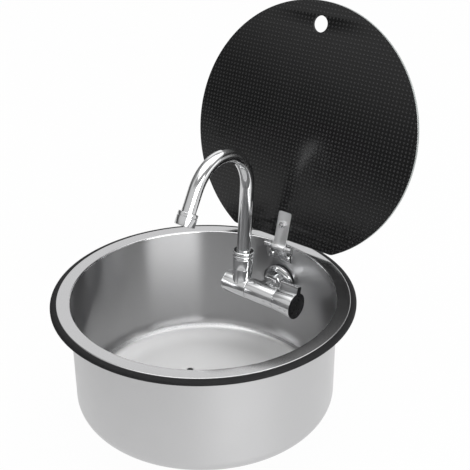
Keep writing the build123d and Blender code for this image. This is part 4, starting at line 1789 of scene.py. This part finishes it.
@dataclass
class TapBody(Assembly):
    """The tap's fixed body, its shank through the wall and the nuts and rose on it."""

    left_x: float = -17.5
    right_x: float = 25.0
    pivot_r: float = 9.0
    pivot_end: float = -46.0
    grooves: Pair = (-40.0, -23.5)
    groove_w: float = 1.9
    groove_deep: float = 1.8
    boss_r: float = 13.0
    boss_from: float = 116.0
    boss_end: float = 131.0
    seat: float = 4.0
    inlet_x: float = 4.5
    inlet_r: float = 4.0
    inlet_len: float = 13.0
    cavity_r: float = 10.95
    cavity_x: float = 10.0
    shank_r: float = 11.0
    shank_bore: float = 9.0
    shank_plain: float = 155.0
    shank_end: float = 178.6
    shank_root: float = 10.35
    shank_pitch: float = 1.5
    shank_runout: float = 1.2
    collar_af: float = 26.0
    collar_h: float = 7.5
    rose_r: float = 22.7
    rose_back: float = 150.56
    rose_h: float = 5.5
    rose_rim: float = 1.6
    rose_top_r: float = 15.0
    rose_play: float = 0.1
    rose_steps: int = 12
    nut_af: float = 32.0
    nut_y: float = 159.1
    nut_h: float = 8.0
    nut_edge: float = 0.9

    def body(self) -> Piece:
        """Makes the body with its pivot, the boss for the shank and the hollows in both.

        Returns:
            The body.
        """
        shop, along = self.workshop, SINK.along_tap()
        r, p, groove = SINK.tap_r, self.pivot_r, self.pivot_r - self.groove_deep
        corners = [(0.0, self.pivot_end, 0.0), (p, self.pivot_end, 0.4)]
        for middle in self.grooves:
            low, high = middle - self.groove_w / 2, middle + self.groove_w / 2
            corners += [(p, low, 0.0), (groove, low, 0.0), (groove, high, 0.0), (p, high, 0.0)]
        left, right = self.left_x, self.right_x
        corners += [(p, left, 0.0), (r, left, 0.45), (r, right, 0.45), (0.0, right, 0.0)]
        body = shop.turned("tap_body_turned", corners, along, Turning.TAP)
        bore, end = self.shank_r + SINK.slack, self.boss_end
        corners = [
            (0.0, self.boss_from, 0.0),
            (self.boss_r, self.boss_from, 0.0),
            (self.boss_r, end, 0.5),
            (bore, end, 0.2),
            (bore, end - self.seat, 0.0),
            (0.0, end - self.seat, 0.0),
        ]
        boss = shop.turned("shank_boss", corners, SINK.through_wall(), Turning.NUT)
        shop.fit(body, [boss], Joining.UNION)
        cuts = [shop.rod("cartridge_cavity", self.cavity_r, self.cavity_x, right + 2.0, along)]
        for x in (-self.inlet_x, self.inlet_x):
            cuts.append(shop.rod("inlet", self.inlet_r, end - self.inlet_len, end, SINK.through_wall(x)))
        return shop.fit(body, cuts, Joining.CUT)

    def on_shank(self, name: str, across_flats: float, height: float, y: float) -> Piece:
        """Makes a six-sided piece on the shank.

        Args:
            name: The piece's name.
            across_flats: Its spanner size.
            height: Its length along the shank.
            y: Where it starts.

        Returns:
            The piece.
        """
        sizes = (across_flats, self.shank_r + SINK.slack)
        return self.workshop.nut(name, sizes, (0.0, height), SINK.through_wall(y=y), self.nut_edge)

    def rose_outline(self) -> Loop:
        """Draws the rose's cross-section: a rim and a dome.

        Returns:
            The outline's points.
        """
        back, hole = self.rose_back, self.shank_r + self.rose_play
        radii = (self.rose_r - self.rose_top_r, self.rose_rim - self.rose_h)
        dome = arc((self.rose_top_r, back - self.rose_rim), radii, 0.0, 90.0, self.rose_steps)
        return [(hole, back - self.rose_h), (hole, back), (self.rose_r, back), *dome]

    def shank(self) -> Piece:
        """Makes the shank, plain inside the bowl and threaded outside.

        Returns:
            The shank.
        """
        start, end = self.boss_end - self.seat, self.shank_end
        r, root, bore, plain = self.shank_r, self.shank_root, self.shank_bore, self.shank_plain
        corners = [
            (bore, start, 0.0),
            (r, start, 0.0),
            (r, plain, 0.2),
            (root, plain + 0.6, 0.0),
            (root, end - 0.8, 0.0),
            (root - 0.6, end, 0.1),
            (bore, end, 0.2),
        ]
        shank = self.workshop.lathe("shank_turned", rounded(corners), SINK.through_wall(), Turning.STEM)
        thread = Thread(root, r, self.shank_pitch, (end - plain - 2 * self.shank_runout) / self.shank_pitch)
        place = SINK.through_wall().matrix() @ Matrix.Translation((0, 0, plain + self.shank_runout))
        ridge = thread.wind("shank_thread", place, self.finishes.brass, self.workshop)
        return self.workshop.fit(shank, [ridge], Joining.UNION)

    def bare(self, face: bpy.types.MeshPolygon) -> int:
        """Returns 1 for a face on the shank's bare threaded end, and 0 where it is plated."""
        return int(face.center.y > (self.shank_plain - 1.0) * MM)

    def build(self) -> None:
        """Makes the body and what holds it to the wall."""
        finishes, fitter = self.finishes, self.fitter
        plated = [finishes.chrome]
        fitter.place(self.body(), "sink", "tap_chrome", plated, ["tap_body"])
        collar = self.on_shank("shank_collar_six_sided", self.collar_af, self.collar_h, self.boss_end)
        fitter.place(collar, "sink", "tap_chrome", plated, ["shank_collar"])
        rose = self.workshop.lathe("wall_rose_domed", self.rose_outline(), SINK.through_wall(), Turning.TAP)
        fitter.place(rose, "sink", "tap_chrome", plated, ["wall_rose"])
        coats = [finishes.chrome, finishes.brass]
        fitter.place(self.shank(), "sink", "brass", coats, ["tap_shank"], self.bare)
        nut = self.on_shank("lock_nut_six_sided", self.nut_af, self.nut_h, self.nut_y)
        fitter.place(nut, "sink", "brass", [finishes.brass], ["lock_nut"])
        fitter.dress(finishes.gasket, "rose_gasket", "back_gasket", "pivot_o_rings")
        fitter.dress(finishes.fastener, "back_washer", "pivot_washer", "pivot_screw")
        fitter.dress(finishes.brass, "cartridge_nut")
        fitter.dress(finishes.nylon, "valve_cartridge")


@dataclass
class Spout(Assembly):
    """The carrier that folds on the tap's axis and the gooseneck that swivels in it."""

    spout_x: float = -31.0
    lean: float = 4.5
    left_x: float = -52.0
    right_x: float = -17.8
    pivot_r: float = 9.05
    counter_r: float = 11.6
    shoulder_x: float = -45.7
    cap_t: float = 2.5
    boss_r: float = 12.6
    boss_low: float = 2.0
    boss_h: float = 26.0
    taper: float = 0.5
    neck_r: float = 11.7
    neck_top: float = 31.5
    socket_r: float = 10.6
    socket_floor: float = 16.5
    water_r: float = 5.0
    nut_r: float = 13.4
    nut_low: float = 26.3
    nut_step: float = 34.6
    nut_top: float = 50.0
    nut_play: float = 0.3
    ring_r: float = 13.9
    ring_h: float = 4.0
    ring_steps: int = 12
    groove_r: float = 12.4
    groove_h: float = 1.0
    tube_r: float = 8.75
    tube_wall: float = 1.0
    tube_sides: int = 72
    tube_start: float = 17.5
    riser_h: float = 135.0
    riser_steps: int = 12
    arch_r: float = 52.5
    arch_angle: float = 154.5
    arch_steps: int = 60
    tail: float = 41.7
    tail_steps: int = 6
    aerator_r: float = 12.2
    aerator_len: float = 16.0
    aerator_grip: float = 8.0
    collar_low: float = 4.2
    collar_high: float = 5.4
    collar_slope: float = 0.3
    collar_deep: float = 0.7
    cage_r: float = 9.6
    cage_h: float = 5.0
    jet_r: float = 1.1
    jet_sides: int = 20

    jet_rings = (("Inner", 3.4, 5), ("Outer", 6.8, 10))

    def upright(self) -> Placing:
        """Returns the riser's axes, z up along it."""
        s, c = leaning(self.lean)
        return Placing((self.spout_x, SINK.tap_y, SINK.tap_z), (1, 0, 0), (0.0, s, c))

    def line(self) -> list[Vector]:
        """Draws the tube's middle: the riser, the arch and the straight tail.

        Returns:
            The points along it, in metres.
        """
        rise = (self.riser_h - self.tube_start) / self.riser_steps
        points = [(0.0, self.tube_start + rise * k) for k in range(self.riser_steps + 1)]
        top, radii = (self.arch_r, self.riser_h), (self.arch_r, self.arch_r)
        points += arc(top, radii, 180.0, 180.0 - self.arch_angle, self.arch_steps)[1:]
        s, c = leaning(self.arch_angle)
        step = (self.tail - self.aerator_len + self.aerator_grip) / self.tail_steps
        x, y = points[-1]
        points += [(x + s * step * k, y + c * step * k) for k in range(1, self.tail_steps + 1)]
        frame = self.upright()
        return [frame.point(0.0, -forward, up) for forward, up in points]

    def tip(self) -> Placing:
        """Returns the axes at the tube's end, z along the water."""
        line = self.line()
        return Placing(tuple(line[-1] / MM), (1, 0, 0), tuple((line[-1] - line[-2]).normalized()))

    def carrier(self) -> Piece:
        """Makes the carrier with its socket.

        Returns:
            The carrier.
        """
        shop, across, up = self.workshop, SINK.along_tap(), self.upright()
        r, left, right = SINK.tap_r, self.left_x, self.right_x
        corners = [(0.0, left, 0.0), (r, left, 0.35), (r, right, 0.45), (0.0, right, 0.0)]
        made = shop.turned("spout_carrier_turned", corners, across, Turning.TAP)
        corners = [
            (0.0, self.boss_low, 0.0),
            (self.boss_r - self.taper, self.boss_low, 0.0),
            (self.boss_r, self.boss_h, 0.4),
            (self.neck_r, self.boss_h, 0.0),
            (self.neck_r, self.neck_top, 0.3),
            (0.0, self.neck_top, 0.0),
        ]
        boss = shop.turned("socket_boss", corners, up, Turning.NUT)
        shop.fit(made, [boss], Joining.UNION)
        cuts = [
            shop.rod("pivot_hole", self.pivot_r, self.shoulder_x - 1.0, right + 1.0, across),
            shop.rod("pivot_counter", self.counter_r, left - 1.0, self.shoulder_x, across),
            shop.rod("socket", self.socket_r, self.socket_floor, self.neck_top + 1.0, up),
            shop.rod("water_way", self.water_r, 0.0, self.socket_floor + 0.5, up),
        ]
        return shop.fit(made, cuts, Joining.CUT)

    def cap(self) -> Piece:
        """Makes the cap on the carrier's left end.

        Returns:
            The cap.
        """
        r, inner, end = SINK.tap_r, self.left_x, self.left_x - self.cap_t
        corners = [
            (0.0, end, 0.0),
            (r, end, 1.3),
            (r, inner - 0.6, 0.15),
            (r - 0.4, inner - 0.35, 0.1),
            (r - 0.4, inner, 0.0),
            (0.0, inner, 0.0),
        ]
        return self.workshop.turned("carrier_cap_turned", corners, SINK.along_tap(), Turning.TAP)

    def nut_outline(self) -> Loop:
        """Draws the swivel nut's cross-section, a sleeve below two round rings.

        Returns:
            The outline's points.
        """
        ring_low = self.nut_top - 2 * self.ring_h - self.groove_h
        sleeve = ring_low - self.groove_h
        bore, hole = self.neck_r + SINK.slack, self.tube_r + self.nut_play
        outline = rounded(
            [
                (hole, self.nut_top, 0.3),
                (hole, self.nut_step, 0.0),
                (bore, self.nut_step, 0.0),
                (bore, self.nut_low, 0.2),
                (self.nut_r - self.taper, self.nut_low, 0.4),
                (self.nut_r, sleeve, 0.9),
                (self.groove_r, sleeve, 0.2),
            ],
            closed=False,
        )
        half = self.ring_h / 2
        radii = (self.ring_r - self.groove_r, half)
        for low in (ring_low, self.nut_top - self.ring_h):
            outline += arc((self.groove_r, low + half), radii, -90.0, 90.0, self.ring_steps)
        return outline

    def aerator_outline(self) -> Loop:
        """Draws the aerator housing's cross-section, with a stepped collar.

        Returns:
            The outline's points.
        """
        top, end = -self.aerator_grip, self.aerator_len - self.aerator_grip
        low, high = top + self.collar_low, top + self.collar_high
        r, slope, waist = self.aerator_r, self.collar_slope, self.aerator_r - self.collar_deep
        tube, cage = self.tube_r + SINK.slack, self.cage_r + SINK.slack
        return rounded(
            [
                (tube, top, 0.2),
                (r - 0.3, top, 0.7),
                (r - 0.1, low, 0.2),
                (waist, low + slope, 0.1),
                (waist, high - slope, 0.1),
                (r, high, 0.2),
                (r, end, 0.8),
                (cage, end, 0.4),
                (cage, 0.0, 0.0),
                (tube, 0.0, 0.0),
            ],
            steps=5,
        )

    def cage(self) -> Piece:
        """Makes the aerator's cage and pierces its rings of jets with a node tree.

        Returns:
            The cage.
        """
        r, low, high = self.cage_r, SINK.slack, self.cage_h
        corners = [(0.0, low, 0.0), (r, low, 0.2), (r, high, 0.5), (0.0, high, 0.0)]
        made = self.workshop.turned("aerator_cage_pierced", corners, Placing(), Turning.ROD)
        made.data.transform(Matrix.Scale(1 / MM, 4))
        tree = Repeats("pierced_jets")
        jet = tree.size("Jet Radius", self.jet_r)
        deep = tree.size("Jet Depth", self.cage_h * 3)
        shape = tree.source.outputs["Geometry"]
        for label, across, count in self.jet_rings:
            radius = tree.size(f"{label} Radius", across)
            jets = tree.size(f"{label} Count", count, "NodeSocketInt")
            points = tree.result("GeometryNodeMeshCircle", {"Vertices": jets, "Radius": radius})
            shape = tree.drilled(shape, points, jet, deep, self.jet_sides)
        tree.run(shape, self.finishes.nylon, made, self.workshop)
        made.data.transform(self.tip().matrix())
        return made

    def build(self) -> None:
        """Makes the carrier, the nut, the tube and the aerator."""
        shop, fitter, finishes = self.workshop, self.fitter, self.finishes
        plated = [finishes.chrome]
        fitter.place(self.carrier(), "carrier", "tap_chrome", plated, ["spout_carrier"])
        fitter.place(self.cap(), "carrier", "tap_chrome", plated, ["carrier_cap"])
        nut = shop.lathe("spout_nut_ringed", self.nut_outline(), self.upright(), Turning.NUT)
        fitter.place(nut, "carrier", "tap_chrome", plated, ["spout_nut"])
        radii = (self.tube_r, self.tube_r - self.tube_wall)
        tube = shop.pipe("gooseneck", self.line(), Vector((1, 0, 0)), radii, self.tube_sides)
        fitter.place(tube, "spout", "tap_chrome", plated, ["spout_tube"])
        housing = shop.lathe("aerator_housing_turned", self.aerator_outline(), self.tip(), Turning.NUT)
        fitter.place(housing, "spout", "tap_chrome", plated, ["aerator_housing"])
        fitter.place(self.cage(), "spout", "nylon", [finishes.nylon], ["aerator_cage"])
        fitter.dress(finishes.nylon, "spout_bush")
        fitter.dress(finishes.gasket, "bush_o_rings")


@dataclass
class Handle(Assembly):
    """The flared handle with its fin and dark end plate."""

    left_x: float = 25.3
    right_x: float = 52.9
    large_r: float = 16.5
    plate_t: float = 1.6
    plate_steps: int = 96
    fin_t: float = 5.5
    fin_low: float = 2.0
    fin_top: float = 25.0
    fin_lean: float = 15.5
    fin_start: float = 1.0
    stem_r: float = 4.05
    stem_depth: float = 15.3
    screw_r: float = 2.1
    screw_face: float = 42.6
    screw_head_r: float = 3.9

    def keyhole(self) -> Loop:
        """Draws the end plate's outline: a disc with the fin's tab.

        Returns:
            The outline's points.
        """
        half, r, top = self.fin_t / 2, self.large_r, self.fin_top
        meet = math.sqrt(r**2 - half**2)
        first = math.degrees(math.atan2(meet, -half))
        last = math.degrees(math.atan2(meet, half)) + 360.0
        disc = arc((0.0, 0.0), (r, r), first, last, self.plate_steps)
        corners = [(half, meet, 0.0), (half, top, 0.7), (-half, top, 0.7), (-half, meet, 0.0)]
        tab = rounded(corners, closed=False)[1:-1]
        s, c = leaning(self.fin_lean)
        return [(x * c + y * s, -x * s + y * c) for x, y in disc + tab]

    def grip(self) -> Piece:
        """Makes the handle with its fin, and the holes for its stem and screw.

        Returns:
            The handle.
        """
        shop, along = self.workshop, SINK.along_tap()
        r, left, right = SINK.tap_r, self.left_x, self.right_x
        corners = [(0.0, left, 0.0), (r, left, 0.45), (self.large_r, right, 0.25), (0.0, right, 0.0)]
        grip = shop.turned("handle_flared", corners, along, Turning.TAP)
        low, top = self.fin_low, self.fin_top
        start, end = left + self.fin_start, right - SINK.slack
        shape = rounded([(start, low, 0.0), (end, low, 0.0), (end, top, 0.2), (start, top, 1.2)])
        s, c = leaning(self.fin_lean)
        upright = Placing((0.0, SINK.tap_y, SINK.tap_z), (1, 0, 0), (0.0, -c, s))
        fin = shop.plate("handle_fin", [shape], (-self.fin_t / 2, self.fin_t / 2), upright, 0.5)
        shop.fit(grip, [fin], Joining.UNION)
        cuts = [
            shop.rod("stem_hole", self.stem_r, left - 1.0, left + self.stem_depth, along),
            shop.rod("screw_way", self.screw_r, left + 2.0, right - 1.0, along),
            shop.rod("screw_well", self.screw_head_r, self.screw_face, right + 1.0, along),
        ]
        return shop.fit(grip, cuts, Joining.CUT)

    def build(self) -> None:
        """Makes the handle and its plate."""
        finishes, fitter = self.finishes, self.fitter
        fitter.place(self.grip(), "handle", "tap_chrome", [finishes.chrome], ["tap_handle"])
        thick = (self.right_x, self.right_x + self.plate_t)
        loops = [self.keyhole()]
        plate = self.workshop.plate("handle_plate_keyhole", loops, thick, SINK.along_tap(), 0.35)
        fitter.place(plate, "handle", "handle_dark", [finishes.plate], ["handle_plate"])
        fitter.dress(finishes.brass, "valve_stem")
        fitter.dress(finishes.fastener, "handle_screw")


@dataclass(frozen=True)
class Softbox:
    """A large soft lamp.

    Args:
        name: What it is called.
        place: Where it stands, in metres.
        aim: What it points at.
        size: Its width and height in metres.
        power: Its power in watts.
    """

    name: str
    place: Triple
    aim: Triple
    size: Pair
    power: float

    def hang(self) -> None:
        """Adds the lamp to the scene."""
        lamp = bpy.data.lights.new(self.name, "AREA")
        lamp.shape = "RECTANGLE"
        lamp.size, lamp.size_y = self.size
        lamp.energy = self.power
        hung = bpy.data.objects.new(self.name, lamp)
        hung.location = self.place
        hung.rotation_euler = (Vector(self.aim) - Vector(self.place)).to_track_quat("-Z", "Y").to_euler()
        bpy.context.scene.collection.objects.link(hung)


@dataclass(frozen=True)
class Screen:
    """A pale screen in the room round the sink, with soft edges, all in degrees.

    Args:
        azimuth: Its middle, from the back towards the right.
        half_width: Half its width.
        low: Its lower edge above the horizon.
        high: Its upper edge.
        feather: How far its edges fade.
        strength: Its brightness, where 1 is white.
    """

    azimuth: float
    half_width: float
    low: float
    high: float
    feather: float
    strength: float

    def edge(self, sheet: NodeSheet, angle: Socket, at: float, levels: Pair) -> Socket:
        """Fades from one level to another at an angle.

        Args:
            sheet: The world's tree.
            angle: The angle in radians.
            at: Where the edge is, in degrees.
            levels: The levels below and above it.

        Returns:
            The level.
        """
        ends = (math.radians(at - self.feather), math.radians(at + self.feather))
        return sheet.ramp(angle, ends, levels)

    def light(self, sheet: NodeSheet, azimuth: Socket, height: Socket) -> Socket:
        """Finds how bright the screen is in each direction.

        Args:
            sheet: The world's tree.
            azimuth: The direction's azimuth in radians.
            height: Its angle above the horizon.

        Returns:
            The brightness.
        """
        off = sheet.math("SUBTRACT", azimuth, math.radians(self.azimuth))
        off = sheet.math("ABSOLUTE", sheet.math("WRAP", off, math.pi, -math.pi))
        across = self.edge(sheet, off, self.half_width, (self.strength, 0.0))
        above = self.edge(sheet, height, self.low, (0.0, 1.0))
        below = self.edge(sheet, height, self.high, (1.0, 0.0))
        return sheet.math("MULTIPLY", across, sheet.math("MULTIPLY", above, below))


@dataclass
class Studio:
    """A white floor, a dark room with pale screens, a soft lamp and the camera at the photograph's angle.

    Args:
        floor_z: The floor's height in metres.
        floor_r: Its radius.
        floor_sides: How many sides it has.
        floor_grey: How pale it is to the light.
        floor_glow: How much of it is plain white where it is seen.
        table: The middle of the patch that is white in reflections.
        table_r: The patch's radius, from which it fades over as far again.
        table_far: How white the floor is in reflections beyond that.
        room_low: How bright the room is at the horizon.
        room_rise: How much brighter it is overhead.
        white: The background's strength.
        azimuth: Where the camera stands, from the front towards the right.
        elevation: How far it looks down.
        roll: How far it is turned about its view.
        distance: From what it looks at, in millimetres.
        target: What it looks at.
        focal: Its focal length in pixels.
        frame: The picture's width in pixels.
        sensor: Its sensor's width in millimetres.
    """

    floor_z: float = -0.1905
    floor_r: float = 9.0
    floor_sides: int = 96
    floor_grey: float = 0.6
    floor_glow: float = 0.97
    table: Triple = (0.18, 0.14, -0.1905)
    table_r: float = 0.36
    table_far: float = 0.1
    room_low: float = 0.06
    room_rise: float = 0.5
    white: float = 1.0
    azimuth: float = 38.02
    elevation: float = 27.55
    roll: float = -0.22
    distance: float = 1098.0
    target: Triple = (46.49, 0.0, 94.53)
    focal: float = 1004.9
    frame: float = 470.0
    sensor: float = 36.0

    lamp = Softbox("top_box", (0.15, -0.1, 1.9), (0.0, 0.0, 0.0), (1.8, 1.8), 19.0)
    screens = (
        Screen(114.0, 23.0, 4.0, 27.0, 4.0, 10.5),
        Screen(-40.0, 24.0, 12.0, 44.0, 7.0, 0.95),
        Screen(-60.0, 70.0, 60.0, 90.0, 8.0, 0.9),
        Screen(36.0, 36.0, 38.0, 66.0, 10.0, 1.7),
        Screen(-140.0, 14.0, 14.0, 44.0, 5.0, 0.45),
        Screen(-115.0, 40.0, 50.0, 74.0, 8.0, 0.9),
        Screen(30.0, 50.0, -14.0, 14.0, 6.0, 1.5),
        Screen(170.0, 36.0, 14.0, 36.0, 8.0, 0.5),
    )
    plain_white = (1.0, 1.0, 1.0, 1.0)

    def build(self) -> None:
        """Sets up the floor, the room, the lamp and the camera."""
        bpy.context.scene.view_settings.view_transform = "Standard"
        self.floor()
        self.room()
        self.lamp.hang()
        self.camera()

    def floor(self) -> None:
        """Lays the floor, white to the camera and, near the sink, in reflections, and pale to the light."""
        bm = bmesh.new()
        bmesh.ops.create_circle(bm, cap_ends=True, segments=self.floor_sides, radius=self.floor_r)
        mesh = bpy.data.meshes.new("floor")
        bm.to_mesh(mesh)
        bm.free()
        mesh.transform(Matrix.Translation((0, 0, self.floor_z)))
        floor = bpy.data.objects.new("floor", mesh)
        bpy.context.scene.collection.objects.link(floor)
        material = bpy.data.materials.new("pale_floor")
        material.use_nodes = True
        sheet = NodeSheet(material.node_tree)
        path = sheet.add("ShaderNodeLightPath").outputs
        place = sheet.add("ShaderNodeTexCoord").outputs["Object"]
        away = sheet.vector("DISTANCE", place, self.table)
        near = sheet.ramp(away, (self.table_r, 2 * self.table_r), (1.0, self.table_far))
        mirrored = sheet.math("MAXIMUM", path["Is Glossy Ray"], path["Is Transmission Ray"])
        seen = sheet.math("MAXIMUM", path["Is Camera Ray"], sheet.math("MULTIPLY", mirrored, near))
        part = sheet.math("MULTIPLY", seen, self.floor_glow)
        grey = self.floor_grey
        pale = sheet.result("ShaderNodeBsdfDiffuse", {"Color": (grey, grey, grey, 1.0)})
        glow = sheet.result("ShaderNodeEmission", {"Color": self.plain_white, "Strength": self.white})
        both = sheet.result("ShaderNodeMixShader", {0: part, 1: pale, 2: glow})
        sheet.add("ShaderNodeOutputMaterial", {"Surface": both})
        mesh.materials.append(material)

    def room(self) -> None:
        """Makes the room: white to the camera, and dark with pale screens in reflections."""
        world = bpy.data.worlds.new("studio")
        bpy.context.scene.world = world
        world.use_nodes = True
        sheet = NodeSheet(world.node_tree)
        path = sheet.add("ShaderNodeLightPath").outputs
        way = sheet.add("ShaderNodeTexCoord").outputs["Generated"]
        x, y, z = sheet.add("ShaderNodeSeparateXYZ", {0: way}).outputs
        azimuth = sheet.math("ARCTAN2", x, y)
        height = sheet.math("ARCSINE", z)
        level = sheet.math("MULTIPLY_ADD", z, self.room_rise, self.room_low, use_clamp=True)
        for screen in self.screens:
            level = sheet.math("ADD", level, screen.light(sheet, azimuth, height))
        lit, plain = (
            sheet.result("ShaderNodeBackground", {"Color": self.plain_white, "Strength": strength})
            for strength in (level, self.white)
        )
        both = sheet.result("ShaderNodeMixShader", {0: path["Is Camera Ray"], 1: lit, 2: plain})
        sheet.add("ShaderNodeOutputWorld", {"Surface": both})

    def camera(self) -> None:
        """Stands the camera where the photograph was taken from."""
        sa, ca = leaning(self.azimuth)
        se, ce = leaning(self.elevation)
        back = Vector((sa * ce, -ca * ce, se))
        right = Vector((ca, sa, 0.0))
        up = back.cross(right)
        sr, cr = leaning(self.roll)
        right, up = right * cr + up * sr, up * cr - right * sr
        lens = bpy.data.cameras.new("camera")
        lens.sensor_width = self.sensor
        lens.lens = self.sensor * self.focal / self.frame
        lens.clip_start = 0.01
        seen = bpy.data.objects.new("camera", lens)
        turned = Matrix((right, up, back)).transposed().to_4x4()
        turned.translation = (Vector(self.target) + back * self.distance) * MM
        seen.matrix_world = turned
        bpy.context.scene.collection.objects.link(seen)
        bpy.context.scene.camera = seen


def main() -> None:
    """Builds the assemblies in order, then the studio."""
    logging.basicConfig(level=logging.INFO, format="%(name)s %(message)s")
    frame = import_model()
    tools = (Workshop(), Finishes(), Fitter(frame["nodes"]))
    for assembly in (Bowl, Drain, LidHinge, GlassLid, TapBody, Spout, Handle):
        assembly(*tools).build()
    Studio().build()


if __name__ == "__main__":
    main()
